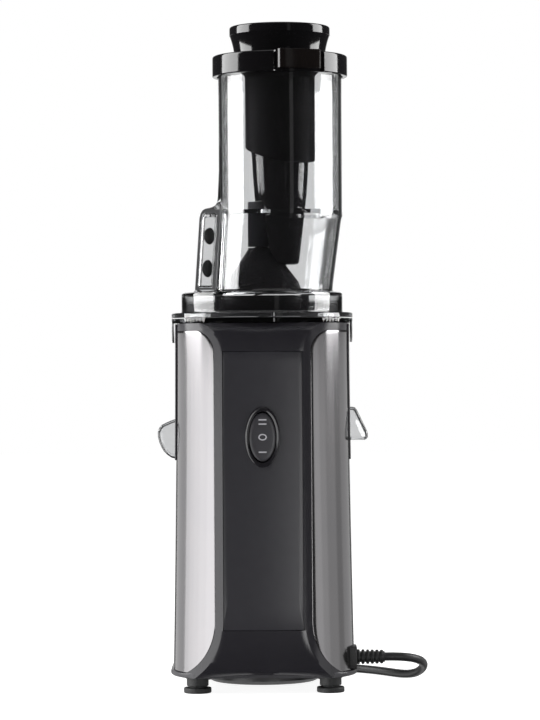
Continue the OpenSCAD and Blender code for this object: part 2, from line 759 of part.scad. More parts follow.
module housing() {
    boss_h = 20;
    color("#232327") difference() {
        union() {
            difference() {
                union() {
                    tower_solid(panel_t, panel_z0, tower_top);
                    intersection() {
                        tower_solid(0, panel_z0, tower_top);
                        union() {
                            frame_prism();
                            block([-far, -far, panel_z1 + 0.1], [far, far, far]);
                        }
                    }
                }
                tower_solid(inner_in, panel_z0 - 1, tower_top + 1);
                for (side = [-1, 1]) panel_recess(side);
            }
            intersection() {
                tower_solid(inner_in - 0.5, panel_z0, panel_z0 + boss_h);
                for (x = [-foot_x, foot_x], y = [-foot_y, foot_y]) translate([x, y, panel_z0])
                    cylinder(r = 5.5, h = boss_h);
            }
        }
        slots();
        oval(bezel_tube_w + 0.1, bezel_tube_h + 0.1, -far / 2, -40);
        gland_notch();
        for (x = [-foot_x, foot_x], y = [-foot_y, foot_y]) translate([x, y, 0])
            cylinder(r = screw_r + fit, h = panel_z0 + screw_reach + 1);
    }
}

module metal_panel() {
    difference() {
        tower_solid(0, panel_z0 + 0.1, panel_z1);
        tower_solid(panel_t - 0.1, panel_z0 - 1, panel_z1 + 1);
        frame_prism(-0.15);
        slots(0.2);
        block([-far, -far, 0], [0, far, far]);
        children();
    }
}

module panel_left() {
    color("#c9c6ca") mirror([1, 0, 0]) metal_panel();
}

module panel_right() {
    color("#c9c6ca") metal_panel() gland_notch();
}

module flat_panel(side) {
    intersection() {
        difference() {
            tower_solid(0, front_z0 + 0.25, front_z1 - 0.25);
            tower_solid(1.9, front_z0 - 1, front_z1 + 1);
        }
        block([-front_half + 0.25, min(0, side * far), 0], [front_half - 0.25, max(0, side * far), far]);
    }
}

module front_panel() {
    color("#2c2c31") difference() {
        flat_panel(-1);
        oval(bezel_tube_w + 0.1, bezel_tube_h + 0.1, -far / 2, -40);
    }
}

module rear_panel() {
    color("#2c2c31") flat_panel(1);
}

module well_liner() {
    edge = slot_w / 2;
    color("#1e1e21") difference() {
        intersection() {
            tower_solid(inner_in + 0.2, liner_z, tower_top - gap, 3);
            union() {
                tube(liner_r + liner_t, liner_z, tower_top - gap);
                block([-far, -edge - liner_t, liner_z], [far, edge + liner_t, tower_top - gap]);
                block([-far, -far, liner_z], [far, far, liner_z + liner_floor_t]);
                block([-far, -far, tower_top - 3.8], [far, far, tower_top - gap]);
            }
        }
        block([-bezel_half_w, -far, liner_z - 1], [bezel_half_w, -liner_r - liner_t, switch_z]);
        translate([0, 0, liner_z + liner_floor_t]) cylinder(r = liner_r, h = far);
        block([-far, -edge, liner_z + liner_floor_t], [far, edge, far]);
        translate([0, 0, liner_z - 1]) cylinder(r = shaft_r + 1, h = 20);
        for (turn = screw_turns) rotate([0, 0, turn]) translate([screw_ring, 0, liner_z - 1])
            cylinder(r = screw_r + fit, h = liner_floor_t);
    }
}

module base_plate() {
    color("#3a3a3f") difference() {
        tower_solid(-trim_proud, base_z, panel_z0 - 0.1, 1);
        for (i = [0:15]) rotate([0, 0, 22.5 * i])
            block([14, -1.5, base_z - 1], [30, 1.5, panel_z0 + 1]);
        for (x = [-foot_x, foot_x], y = [-foot_y, foot_y]) translate([x, y, 0])
            cylinder(r = screw_r + fit, h = panel_z0 + 1);
    }
}

module vent_cover() {
    bottom = base_z - 6.5;
    color("#141416") difference() {
        rotate_extrude() polygon([[0, bottom], [vent_cover_r - 6, bottom],
            [vent_cover_r, bottom + 3], [vent_cover_r, base_z], [vent_cover_r - 2, base_z],
            [vent_cover_r - 2, bottom + 4], [vent_cover_r - 7, bottom + 2], [0, bottom + 2]]);
        for (i = [0:23]) rotate([0, 0, 15 * i])
            block([15, -1.2, bottom - 1], [33, 1.2, bottom + 3]);
    }
}

module foot(x, y) {
    color("#18181a") translate([x, y, 0]) rotate_extrude() polygon([
        [screw_head_r + 0.2, 0], [foot_r - 0.7, 0], [foot_r, 0.7], [foot_r, foot_h - 0.7],
        [foot_r - 0.7, foot_h], [foot_neck_r - 2, foot_h], [foot_neck_r - 2, foot_h + 1.2],
        [foot_neck_r, foot_h + 1.2], [foot_neck_r, base_z], [screw_r + fit, base_z],
        [screw_r + fit, foot_h], [screw_head_r + 0.2, foot_h]]);
}

module foot_1() { foot(-foot_x, -foot_y); }
module foot_2() { foot(foot_x, -foot_y); }
module foot_3() { foot(-foot_x, foot_y); }
module foot_4() { foot(foot_x, foot_y); }

module base_screws() {
    color("silver") for (x = [-foot_x, foot_x], y = [-foot_y, foot_y]) translate([x, y, 0]) {
        tube(screw_head_r, foot_h - 2, foot_h);
        tube(screw_r, foot_h - 1, panel_z0 + screw_reach);
    }
}

// ---- switch ----
module switch_bezel() {
    color("#1d1d20") difference() {
        union() {
            oval(bezel_half_w, bezel_half_h, front_y - bezel_proud, front_y - 0.35);
            oval(bezel_tube_w, bezel_tube_h, front_y - 0.5, switch_back_y);
        }
        oval(bezel_in_w, bezel_in_h, front_y - 10, switch_back_y + 1);
        translate([0, pivot_y, switch_z]) rotate([0, 90, 0])
            cylinder(r = rocker_pin_r + fit, h = 60, center = true);
    }
}

module rocker() {
    color("#26262a") {
        oval(rocker_half_w, rocker_half_h, front_y - bezel_proud + 0.4, pivot_y - 0.8);
        translate([0, pivot_y, switch_z]) rotate([0, 90, 0]) {
            cylinder(r = 2.1, h = 2 * rocker_half_w - 1, center = true);
            cylinder(r = rocker_pin_r, h = 2 * (bezel_tube_w - 0.7), center = true);
        }
    }
}

module switch_body() {
    color("#2f2f33") block([-switch_body_half_w, switch_back_y, switch_z - switch_body_half_h],
        [switch_body_half_w, -liner_r - liner_t - 0.5, switch_z + switch_body_half_h]);
}

// ---- electronics ----
module circuit_board() {
    back = board_y + board_t;
    color("#2f6b3c") {
        block([-board_half, board_y, board_z], [board_half, back, board_z + board_h]);
        block([4 - board_half, back, board_z + 6], [-4, back + 7.4, board_z + 20]);
        block([2, back, board_z + board_h - 24], [board_half - 4, back + 6.4, board_z + board_h - 6]);
        translate([10, back, board_z + 13]) rotate([-90, 0, 0]) cylinder(r = 6, h = 8);
    }
}

module board_posts() {
    x = board_half - post_in - 1;
    color("#232327") for (side = [-x, x], z = [board_z + post_in, board_z + board_h - post_in])
        translate([side, board_y, z]) rotate([90, 0, 0])
            cylinder(r = post_r, h = inner_front(z + post_r) - 0.2 + board_y);
}

// ---- motor ----
module motor_can() {
    color("#8f9196") difference() {
        tube(motor_r, motor_z, case_z);
        tube(motor_r - motor_wall, motor_z + motor_wall, case_z - motor_wall - 0.5);
        tube(bearing_r, motor_z - 1, case_z + 1);
        for (i = [0:7]) rotate([0, 0, 45 * i + 22.5])
            block([15, -4, motor_z - 1], [31, 4, motor_z + motor_wall + 1]);
    }
}

module stator_core() {
    color("#6d6f73") difference() {
        tube(motor_r - motor_wall - 0.1, motor_z + 14, case_z - 20, rotor_r + 1);
        for (i = [0:11]) rotate([0, 0, 30 * i])
            block([rotor_r - 1, -2, 0], [rotor_r + 8, 2, far]);
    }
}

module rotor_core() {
    color("#b87a4b") tube(rotor_r, motor_z + 16, case_z - 22, motor_shaft_r);
}

module rotor_shaft() {
    color("silver") tube(motor_shaft_r, fan_z - 3, stage_1_z + stage_1_h + 0.5);
}

module motor_fan() {
    color("#2f2f33") {
        tube(6, fan_z, fan_z + fan_h, motor_shaft_r);
        tube(fan_r, fan_z, fan_z + 1.2, 5.5);
        for (i = [0:8]) rotate([0, 0, 40 * i])
            block([5.5, -0.6, fan_z + 1], [fan_r - 1, 0.6, fan_z + fan_h]);
    }
}

module motor_bearings() {
    color("#a9abaf") {
        tube(bearing_r, motor_z, motor_z + 6, motor_shaft_r + fit);
        tube(bearing_r, case_z - 6, case_z, motor_shaft_r + fit);
    }
}

module motor_mounts() {
    color("#202022") for (i = [0:2]) rotate([0, 0, 120 * i + 30])
        translate([motor_r - 5, 0, 0]) tube(5, panel_z0 - 0.1, motor_z);
}

// ---- gearbox ----
module at_lay() {
    rotate([0, 0, lay_turn]) translate([centre_distance, 0, 0]) children();
}

module case_outline(wall, z0, z1) {
    tube(case_r + wall, z0, z1);
    at_lay() tube(case_r + wall, z0, z1);
}

module gearbox_case() {
    color("#9a9ca0") difference() {
        case_outline(case_wall, case_z, cover_z);
        case_outline(0, case_z + case_floor_t, cover_z + 1);
        tube(5, case_z - 1, case_z + 10);
        at_lay() tube(lay_shaft_r, case_z - 1, case_z + 10);
    }
}

module gearbox_cover() {
    color("#9a9ca0") difference() {
        union() {
            case_outline(case_wall, cover_z, liner_z);
            tube(screw_ring + 3.5, cover_z, liner_z);
            tube(bush_r + 2, bush_z, cover_z + 1);
        }
        tube(bush_r, bush_z - 1, liner_z + 1);
        at_lay() tube(lay_shaft_r, cover_z - 1, liner_z - 1.5);
        for (turn = screw_turns) rotate([0, 0, turn]) translate([screw_ring, 0, 0])
            tube(screw_r + fit, cover_z - 1, liner_z + 1);
    }
}

module gearbox_screws() {
    color("silver") for (turn = screw_turns) rotate([0, 0, turn]) translate([screw_ring, 0, 0]) {
        tube(screw_head_r, cover_z - 2, cover_z);
        tube(screw_r, cover_z - 1, liner_z + liner_floor_t - 1.4);
    }
}

module motor_pinion() {
    color("#c7b16a") rotate([0, 0, lay_turn]) difference() {
        toothed(pinion_teeth, stage_1_z, stage_1_z + stage_1_h, 4);
        shaft_bore(motor_shaft_r);
    }
}

module lay_gear() {
    color("#e8e4d8") at_lay() difference() {
        union() {
            rotate([0, 0, 180 + 180 / wheel_teeth])
                toothed(wheel_teeth, stage_1_z, stage_1_z + stage_1_h, 3);
            rotate([0, 0, 180])
                toothed(pinion_teeth, stage_1_z + stage_1_h - 0.5, stage_2_z + stage_2_h, 4);
        }
        shaft_bore(lay_shaft_r + fit);
    }
}

module lay_shaft() {
    color("silver") at_lay() tube(lay_shaft_r, case_z, liner_z - 1.5);
}

module output_gear() {
    color("#e8e4d8") rotate([0, 0, lay_turn + 180 / wheel_teeth]) difference() {
        toothed(wheel_teeth, stage_2_z, stage_2_z + stage_2_h, 3);
        shaft_bore(shaft_r);
    }
}

module output_shaft() {
    color("#b9bbc0") {
        tube(shaft_r, stage_2_z - 1, auger_z);
        translate([0, 0, auger_z - 0.5]) cylinder(r = hex_r, h = hex_top - auger_z - 0.5, $fn = 6);
    }
}

module output_bush() {
    color("#b48a4a") tube(bush_r, bush_z, liner_z, shaft_r + fit);
}

// ---- mains cord ----
module cord_gland() {
    color("#17171a") block([gland_x - 10, gland_y - gland_half_y, gland_z - gland_half_z],
        [gland_x, gland_y + gland_half_y, gland_z + gland_half_z]);
}

module strain_relief() {
    ribs = 6;
    pitch = (relief_x - gland_x) / ribs;
    color("#17171a") translate([gland_x, gland_y, gland_z]) rotate([0, 90, 0]) {
        tube(relief_r - 1.5, 0, relief_x - gland_x);
        for (i = [0:ribs - 1])
            tube(relief_r - 0.5 * i / ribs, pitch * i, pitch * (i + 0.65));
    }
}

module cord() {
    color("#151517") {
        sweep(cord_points, cord_r);
        sweep(tail_points, cord_r);
    }
}

module cord_coil() {
    color("#151517") translate([0, coil_y, 0])
        tube(coil_r + 2 * cord_r, 0, 2 * cord_r * coil_turns_high, coil_r - 2 * cord_r);
}

module plug() {
    x0 = tail_points[len(tail_points) - 1][0];
    color("#151517") translate([x0, plug_y, plug_z]) rotate([0, 90, 0]) {
        tube(cord_r + 1.4, 0, 9);
        hull() for (side = [-1, 1]) {
            translate([0, side * 6, 7]) cylinder(r = 6, h = 1, $fn = 32);
            translate([0, side * 6, 12]) cylinder(r = 7, h = 1, $fn = 32);
            translate([0, side * 4, 34]) cylinder(r = 7, h = 1, $fn = 32);
        }
        for (side = [-1, 1]) translate([0, side * 9.3, 0]) tube(2, 34, 53);
    }
}

// every sub-part, one at a time or all together
pusher();
pusher_cap();
lid();
lid_seal();
lid_latch();
latch_pin();
hopper();
hopper_bushing();
hopper_seal();
auger();
strainer_frame();
strainer_mesh();
bowl();
bowl_seal();
juice_spout();
pulp_spout();
juice_cover();
pulp_cover();
housing();
panel_left();
panel_right();
front_panel();
rear_panel();
well_liner();
base_plate();
vent_cover();
foot_1();
foot_2();
foot_3();
foot_4();
base_screws();
switch_bezel();
rocker();
switch_body();
circuit_board();
board_posts();
motor_can();
stator_core();
rotor_core();
rotor_shaft();
motor_fan();
motor_bearings();
motor_mounts();
gearbox_case();
gearbox_cover();
gearbox_screws();
motor_pinion();
lay_gear();
lay_shaft();
output_gear();
output_shaft();
output_bush();
cord_gland();
strain_relief();
cord();
cord_coil();
plug();
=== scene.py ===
import json
import math

import bmesh
import bpy
from mathutils import Matrix, Vector


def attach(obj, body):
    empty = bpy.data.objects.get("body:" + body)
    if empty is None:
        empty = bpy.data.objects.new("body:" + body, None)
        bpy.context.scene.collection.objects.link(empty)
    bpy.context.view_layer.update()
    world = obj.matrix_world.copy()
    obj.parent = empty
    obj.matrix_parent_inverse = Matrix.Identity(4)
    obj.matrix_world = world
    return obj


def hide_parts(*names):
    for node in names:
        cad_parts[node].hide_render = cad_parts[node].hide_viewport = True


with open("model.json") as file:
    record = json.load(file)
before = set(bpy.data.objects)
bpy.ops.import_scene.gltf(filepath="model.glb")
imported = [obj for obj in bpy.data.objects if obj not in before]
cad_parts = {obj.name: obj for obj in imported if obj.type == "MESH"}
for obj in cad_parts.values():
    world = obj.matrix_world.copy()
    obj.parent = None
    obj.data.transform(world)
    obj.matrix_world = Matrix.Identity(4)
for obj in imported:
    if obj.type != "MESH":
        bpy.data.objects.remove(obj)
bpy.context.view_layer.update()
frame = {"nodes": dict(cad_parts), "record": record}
MM = 0.001

# ---- camera ----
# A long lens two metres in front of the switch side, level, at half the juicer's height.
ROLL = math.radians(0.36)
STAND = (0.0056, -2.0367, 0.2373)       # metres from the middle of the juicer's foot
camera = bpy.data.objects.new("camera", bpy.data.cameras.new("camera"))
camera.data.lens = 139.5
camera.data.sensor_width = 36
camera.matrix_world = Matrix((
    (math.cos(ROLL), math.sin(ROLL), 0, STAND[0]),
    (0, 0, -1, STAND[1]),
    (-math.sin(ROLL), math.cos(ROLL), 0, STAND[2]),
    (0, 0, 0, 1)))
bpy.context.scene.collection.objects.link(camera)
bpy.context.scene.camera = camera
bpy.context.scene.view_settings.view_transform = "Standard"


# ---- studio: backdrop, soft boxes and floor ----
# A white sweep behind the juicer, tall strip boxes on both sides and dark flags in front,
# as for any glossy black and clear object.
def add(tree, kind, inputs=None, **settings):
    """Adds a node with its settings; an input's value is a number or another node's output."""
    made = tree.nodes.new(kind)
    for name, value in settings.items():
        setattr(made, name, value)
    for name, value in (inputs or {}).items():
        if isinstance(value, bpy.types.NodeSocket):
            tree.links.new(value, made.inputs[name])
        else:
            made.inputs[name].default_value = value
    return made


world = bpy.data.worlds.new("studio")
bpy.context.scene.world = world
world.use_nodes = True
sky = world.node_tree
sky.nodes.clear()
seen = add(sky, "ShaderNodeLightPath").outputs
way = add(sky, "ShaderNodeSeparateXYZ", {0: add(sky, "ShaderNodeTexCoord").outputs["Generated"]}).outputs
turn = add(sky, "ShaderNodeMath", {0: way["X"], 1: way["Y"]}, operation="ARCTAN2").outputs[0]
# reflections see the sweep as a bright strip straight behind, with dark flags on both sides
aside = add(sky, "ShaderNodeMath", {0: turn}, operation="ABSOLUTE").outputs[0]
sweep = add(sky, "ShaderNodeMapRange", {"Value": aside, "From Min": 0.16, "From Max": 0.36,
            "To Min": 0.92, "To Max": 0.04}, interpolation_type="SMOOTHSTEP").outputs[0]
# rays through two clear walls see eight bright strips between flags, the others see a flag
fold = add(sky, "ShaderNodeMath", {0: turn, 1: math.pi / 8}, operation="PINGPONG").outputs[0]
strips = add(sky, "ShaderNodeMapRange", {"Value": fold, "From Min": 0.06, "From Max": 0.13,
             "To Min": 0.82, "To Max": 0.15}, interpolation_type="SMOOTHSTEP").outputs[0]
two_walls = add(sky, "ShaderNodeMath", {0: seen["Transmission Depth"], 1: 2.5},
                operation="GREATER_THAN").outputs[0]
through = add(sky, "ShaderNodeMix", {0: two_walls, 2: 0.15, 3: strips}).outputs[0]
# what lies below is the white paper, seen through the clear walls from above
down = add(sky, "ShaderNodeMapRange", {"Value": way["Z"], "From Min": -0.14, "From Max": -0.2})
past = add(sky, "ShaderNodeMix", {0: down.outputs[0], 2: through, 3: 0.7}).outputs[0]
mirrored = add(sky, "ShaderNodeMath", {0: seen["Glossy Depth"], 1: 0.5}, operation="GREATER_THAN").outputs[0]
# any other ray meets the studio's dim grey, and the camera a white background
light = 0.34
for ray, value in ((seen["Is Transmission Ray"], past), (mirrored, sweep), (seen["Is Camera Ray"], 1.0)):
    light = add(sky, "ShaderNodeMix", {0: ray, 2: light, 3: value}).outputs[0]
glow = add(sky, "ShaderNodeBackground", {"Color": (1, 1, 1, 1), "Strength": light})
add(sky, "ShaderNodeOutputWorld", {"Surface": glow.outputs[0]})


def light_panel(name, width, height, radiance, place):
    """A white rectangular light that faces down and that the camera doesn't see."""
    lamp = bpy.data.lights.new(name, "AREA")
    lamp.shape = "RECTANGLE"
    lamp.size = width
    lamp.size_y = height
    lamp.energy = math.pi * radiance * width * height
    panel = bpy.data.objects.new(name, lamp)
    panel.location = place
    panel.visible_camera = False
    bpy.context.scene.collection.objects.link(panel)
    return panel


REACH = 1.1                                 # metres from the juicer's axis to the upright boxes
UPPER, LOWER = (0.282, 1.3), (-0.8, 0.28)   # metres, the lowest and highest edges of the boxes


def soft_box(name, turn_low, turn_high, z_low, z_high, radiance, lit=None):
    """An upright light panel around the juicer; turns are in degrees from the camera's side."""
    middle = math.radians((turn_low + turn_high) / 2)
    width = 2 * REACH * math.tan(math.radians((turn_high - turn_low) / 2))
    place = Vector((REACH * math.sin(middle), -REACH * math.cos(middle), (z_low + z_high) / 2))
    box = light_panel(name, width, z_high - z_low, radiance, place)
    box.rotation_euler = Vector((-place.x, -place.y, 0)).to_track_quat("-Z", "Y").to_euler()
    box.light_linking.receiver_collection = lit


# the low boxes light the tower, the cord and the floor alone, as if flags stood over them
tower_only = bpy.data.collections.new("lit by the low boxes")
soft_box("upper left box", -114, -74, *UPPER, 8.0)
soft_box("upper right box", 82, 113, *UPPER, 8.0)
soft_box("faint upper strip", 18, 25, *UPPER, 0.22)
for name, turn_low, turn_high, radiance in (
        ("left rear", -150, -109, 0.9), ("left back", -109, -98, 2.15), ("left side", -98, -88, 2.5),
        ("left middle", -88, -76, 2.7), ("left half", -76, -62, 2.9), ("left front", -62, -24, 3.1),
        ("right front", 49, 64, 1.0), ("right half", 64, 76, 0.8), ("right side", 76, 98, 0.62),
        ("right back", 98, 114, 0.42), ("right rear", 114, 150, 0.6)):
    soft_box("low " + name + " box", turn_low, turn_high, *LOWER, radiance, tower_only)
soft_box("low front box", 10, 28, -0.15, 0.25, 5.0, tower_only)
light_panel("overhead box", 1.6, 1.6, 0.7, (0, -0.2, 1.9))

# matt paper: it looks white to the camera, with a faint shadow where the juicer stands
paper = bpy.data.materials.new("white paper sweep")
paper.use_nodes = True
sheet = paper.node_tree
sheet.nodes.clear()
lit = add(sheet, "ShaderNodeMath", {0: add(sheet, "ShaderNodeLightPath").outputs["Is Camera Ray"], 1: 0.9},
          operation="MULTIPLY")
shine = add(sheet, "ShaderNodeEmission", {"Strength": lit.outputs[0]})
matt = add(sheet, "ShaderNodeBsdfDiffuse", {"Color": (0.42, 0.42, 0.42, 1)})
both = add(sheet, "ShaderNodeAddShader", {0: shine.outputs[0], 1: matt.outputs[0]})
add(sheet, "ShaderNodeOutputMaterial", {"Surface": both.outputs[0]})
floor_mesh = bpy.data.meshes.new("paper floor")
floor_mesh.from_pydata([(-5, -5, 0), (5, -5, 0), (5, 5, 0), (-5, 5, 0)], [], [(0, 1, 2, 3)])
floor_mesh.materials.append(paper)
floor = bpy.data.objects.new("paper floor", floor_mesh)
for kind in ("visible_glossy", "visible_transmission", "visible_shadow"):
    setattr(floor, kind, False)
bpy.context.scene.collection.objects.link(floor)
tower_only.objects.link(floor)


# ---- mains cord ----
# A round PVC lead of about a metre. It leaves the ribbed relief at the tower's right, drops
# to the surface, goes round behind the tower and lies there as a flat coil.
def linear(code):
    """An sRGB hex colour as linear RGBA."""
    parts = [int(code[i:i + 2], 16) / 255 for i in (1, 3, 5)]
    return [p / 12.92 if p < 0.04045 else ((p + 0.055) / 1.055) ** 2.4 for p in parts] + [1]


def surface(name):
    """A new material, its tree and the Object coordinates that place its patterns."""
    made = bpy.data.materials.new(name)
    made.use_nodes = True
    return made, made.node_tree, add(made.node_tree, "ShaderNodeTexCoord").outputs["Object"]


def two_toned(tree, patches, tones, grain, span, rough, relief=0, strength=1, **sockets):
    """Gives a surface two tones over its patches, and a roughness and a relief over its grain."""
    shader = tree.nodes["Principled BSDF"]
    tone = add(tree, "ShaderNodeMix", {0: patches, 6: linear(tones[0]), 7: linear(tones[1])},
               data_type="RGBA")
    spread = add(tree, "ShaderNodeMapRange", {"Value": grain, "From Min": span[0], "From Max": span[1],
                 "To Min": rough[0], "To Max": rough[1]})
    links = {"Base Color": tone.outputs[2], "Roughness": spread.outputs[0]}
    if relief:
        links["Normal"] = add(tree, "ShaderNodeBump", {"Height": grain, "Distance": relief * MM,
                              "Strength": strength}).outputs[0]
    for socket, value in links.items():
        tree.links.new(value, shader.inputs[socket])
    for socket, value in sockets.items():
        shader.inputs[socket.replace("_", " ")].default_value = value


def moulded(name, dark, pale, rough, grain, relief, **sockets):
    """A moulded surface: two close tones, a spread of roughness and a grain, sized in mm."""
    made, tree, place = surface(name)
    clouds, fine = [add(tree, "ShaderNodeTexNoise", {"Vector": place, "Scale": 1 / (size * MM),
                    "Detail": detail}).outputs[0] for size, detail in ((14 * grain, 3), (grain, 2))]
    two_toned(tree, clouds, (dark, pale), fine, (0.3, 0.7), rough, relief, 0.5, **sockets)
    return made


# flexible black PVC, extruded: a soft sheen and faint drawing marks
soft_pvc = moulded("extruded black PVC", "#0f0f10", "#161618", (0.38, 0.52), 1.2, 0.03)

CORD_R = 3.1
LEAD = 2 * CORD_R        # the cord's thickness, by which its turns lie apart
COIL_Y = 118
route = [(86.9, -27, 23.2), (93, -27, 23.2), (100, -26, 22.8), (107, -22.5, 21.6),
         (112.5, -16.5, 19.4), (115.5, -8.5, 16.4), (116, 1, 12.8), (114.5, 11, 9.2),
         (111.5, 21, 6.2), (107, 31, 4.2), (101.5, 41, 3.3), (95, 51, 3.1), (88, 60.5, 3.1),
         (80, 69.5, 3.1), (71.5, 77, 3.1), (62, 82.5, 3.1), (51.5, 85.2, 3.1), (40, 85.6, 3.1),
         (28, 84.6, 3.1)]
tail = [(-34, 118, 15.5), (-32.8, 127, 15.5), (-29, 135.5, 15.8), (-23, 143, 16.8),
        (-15.5, 149, 18.4), (-8, 152, 19.4), (-2, 152, 19.4)]


def ease(t, start, end):
    """0 before start and 1 after end, with a smooth step between them."""
    t = min(1, max(0, (t - start) / (end - start)))
    return t * t * (3 - 2 * t)


COIL_R, COIL_FROM = 37.1, -65       # the first turn's radius, and where it starts in degrees
COIL_STEPS, PER_TURN = 58, 18       # about three and a quarter turns
coil = []
for i in range(COIL_STEPS + 1):
    t = i / PER_TURN
    radius = COIL_R - LEAD * ease(t, 0.8, 1) + LEAD * ease(t, 2.5, 2.7) - 3 * ease(t, 3, 3.26)
    height = CORD_R + LEAD * ease(t, 1.58, 1.8) + LEAD * ease(t, 2.98, 3.26)
    angle = math.radians(COIL_FROM - 360 * t)
    coil.append((radius * math.cos(angle), COIL_Y + radius * math.sin(angle), height))


def smooth_path(points, steps):
    """Points along a curve that passes through all the given ones."""
    ends = [points[0]] + list(points) + [points[-1]]
    made = []
    for a, b, c, d in zip(ends, ends[1:], ends[2:], ends[3:]):
        for i in range(steps):
            t = i / steps
            made.append([0.5 * (2 * q + (r - p) * t + (2 * p - 5 * q + 4 * r - s) * t * t
                                + (3 * q - p - 3 * r + s) * t ** 3)
                         for p, q, r, s in zip(a, b, c, d)])
    return made + [list(points[-1])]


cord_line = smooth_path(route + coil + tail, 4)
cord_curve = bpy.data.curves.new("mains_cord", "CURVE")
cord_curve.dimensions = "3D"
cord_curve.bevel_depth = CORD_R * MM
cord_curve.bevel_resolution = 5
cord_curve.use_fill_caps = True
spline = cord_curve.splines.new("POLY")
spline.points.add(len(cord_line) - 1)
for point, place in zip(spline.points, cord_line):
    point.co = [v * MM for v in place] + [1]
cord_curve.materials.append(soft_pvc)
cord = bpy.data.objects.new("mains_cord", cord_curve)
bpy.context.scene.collection.objects.link(cord)
tower_only.objects.link(cord)
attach(cord, "base")
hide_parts("cord", "cord_coil")


# ---- plug, strain relief and gland ----
# Black PVC moulded over the lead: a two-pin plug on top of the coil, and a ribbed sleeve that
# bends with the lead where it leaves the tower.
LIT_LOW = 0.2645    # metres; the low boxes light what lies wholly below this height


def finished(mesh, name, material, body, nodes, angle=35):
    """Makes a mesh into a piece of the juicer that rides on a body and stands for nodes."""
    mesh.materials.clear()
    mesh.materials.append(material)
    mesh.shade_smooth()
    mesh.set_sharp_from_angle(angle=math.radians(angle))
    mesh.name = name
    made = bpy.data.objects.new(name, mesh)
    bpy.context.scene.collection.objects.link(made)
    if max(v.co.z for v in mesh.vertices) < LIT_LOW:
        tower_only.objects.link(made)
    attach(made, body)
    if nodes:
        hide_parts(*nodes)
    return made


def edited(mesh, *steps):
    """A mesh after steps that each work on its editable form."""
    work = bmesh.new()
    work.from_mesh(mesh)
    for step in steps:
        step(work)
    work.to_mesh(mesh)
    work.free()
    return mesh


def joined(first, *others):
    """The first mesh with the others added to it."""
    return edited(first, *[lambda work, mesh=mesh: work.from_mesh(mesh) for mesh in others])


def cleaned(work):
    """Merges doubles, drops slivers and turns the faces outwards."""
    bmesh.ops.remove_doubles(work, verts=work.verts, dist=0.00002)
    bmesh.ops.dissolve_degenerate(work, edges=work.edges, dist=0.000002)
    outwards(work)


def outwards(work):
    """Turns a closed shape's faces outwards."""
    bmesh.ops.recalc_face_normals(work, faces=work.faces)


def off_axis(work):
    """Turns an open sheet's faces away from the middle of the juicer."""
    middle = Vector((0, 0, 200)) * MM
    if sum(f.normal.dot(f.calc_center_median() - middle) for f in work.faces) < 0:
        bmesh.ops.reverse_faces(work, faces=work.faces)


def modify(made, kind, **settings):
    """Puts a modifier with its settings on an object."""
    modifier = made.modifiers.new(kind, kind)
    for setting, value in settings.items():
        setattr(modifier, setting, value)


def settled(made):
    """The mesh that an object has with its modifiers applied; the object itself goes."""
    bpy.context.scene.collection.objects.link(made)
    bpy.context.view_layer.update()
    mesh = bpy.data.meshes.new_from_object(made.evaluated_get(bpy.context.evaluated_depsgraph_get()))
    bpy.data.objects.remove(made)
    return mesh


def closed_mesh(points, faces, wall=0, edge=0, edge_angle=40):
    """A mesh from points in mm, with its faces turned outwards, a wall and rounded edges."""
    mesh = bpy.data.meshes.new("shape")
    mesh.from_pydata([[v * MM for v in p] for p in points], [], faces)
    edited(mesh, cleaned, *([off_axis] if wall else []))
    if not (wall or edge):
        return mesh
    made = bpy.data.objects.new("shape", mesh)
    if wall:
        modify(made, "SOLIDIFY", thickness=wall * MM, offset=-1)
    if edge:
        modify(made, "BEVEL", width=edge * MM, segments=3, limit_method="ANGLE",
               angle_limit=math.radians(edge_angle))
    return edited(settled(made), outwards)


def grid_faces(rows, columns, closed_rows=False, closed_columns=False, capped=False):
    """Faces over a grid of points stored row by row; caps close its first and last rows."""
    last_row = rows if closed_rows else rows - 1
    last_column = columns if closed_columns else columns - 1
    faces = [(r * columns + c, r * columns + (c + 1) % columns,
              (r + 1) % rows * columns + (c + 1) % columns, (r + 1) % rows * columns + c)
             for r in range(last_row) for c in range(last_column)]
    if capped:
        faces += [tuple(first + c for c in range(columns)) for first in (0, (rows - 1) * columns)]
    return faces


def ringed(points, columns, ends="joined", **shape):
    """A mesh from rings of points; its first and last rings are joined, capped or left."""
    faces = grid_faces(len(points) // columns, columns, ends == "joined", True, ends == "capped")
    return closed_mesh(points, faces, **shape)


def full_turn(steps):
    """Angles that share a full turn out evenly."""
    return [2 * math.pi * i / steps for i in range(steps)]


def rounded(profile, steps=4):
    """A closed outline whose corners are rounded where a corner gives a radius."""
    made = []
    for i, corner in enumerate(profile):
        here = Vector(corner[:2])
        before = Vector(profile[i - 1][:2]) - here
        after = Vector(profile[(i + 1) % len(profile)][:2]) - here
        radius = corner[2] if len(corner) > 2 else 0
        if not radius:
            made.append(tuple(here))
            continue
        reach = min(radius, 0.49 * before.length, 0.49 * after.length)
        start = here + before.normalized() * reach
        end = here + after.normalized() * reach
        for s in range(steps + 1):
            t = s / steps
            made.append(tuple(start * (1 - t) ** 2 + here * 2 * t * (1 - t) + end * t * t))
    return made


def on_x(profile, start, steps):
    """Points of an outline turned about a line along X."""
    return [(start[0] + x, start[1] + r * math.cos(a), start[2] + r * math.sin(a))
            for r, x in profile for a in full_turn(steps)]


def grown(shape, tree, inputs):
    """The mesh that a Geometry Nodes tree makes from a shape, with its inputs by name."""
    made = bpy.data.objects.new("grown", shape)
    modifier = made.modifiers.new("grown", "NODES")
    modifier.node_group = tree
    for socket in tree.interface.items_tree:
        if socket.name in inputs:
            modifier[socket.identifier] = inputs[socket.name]
    return settled(made)


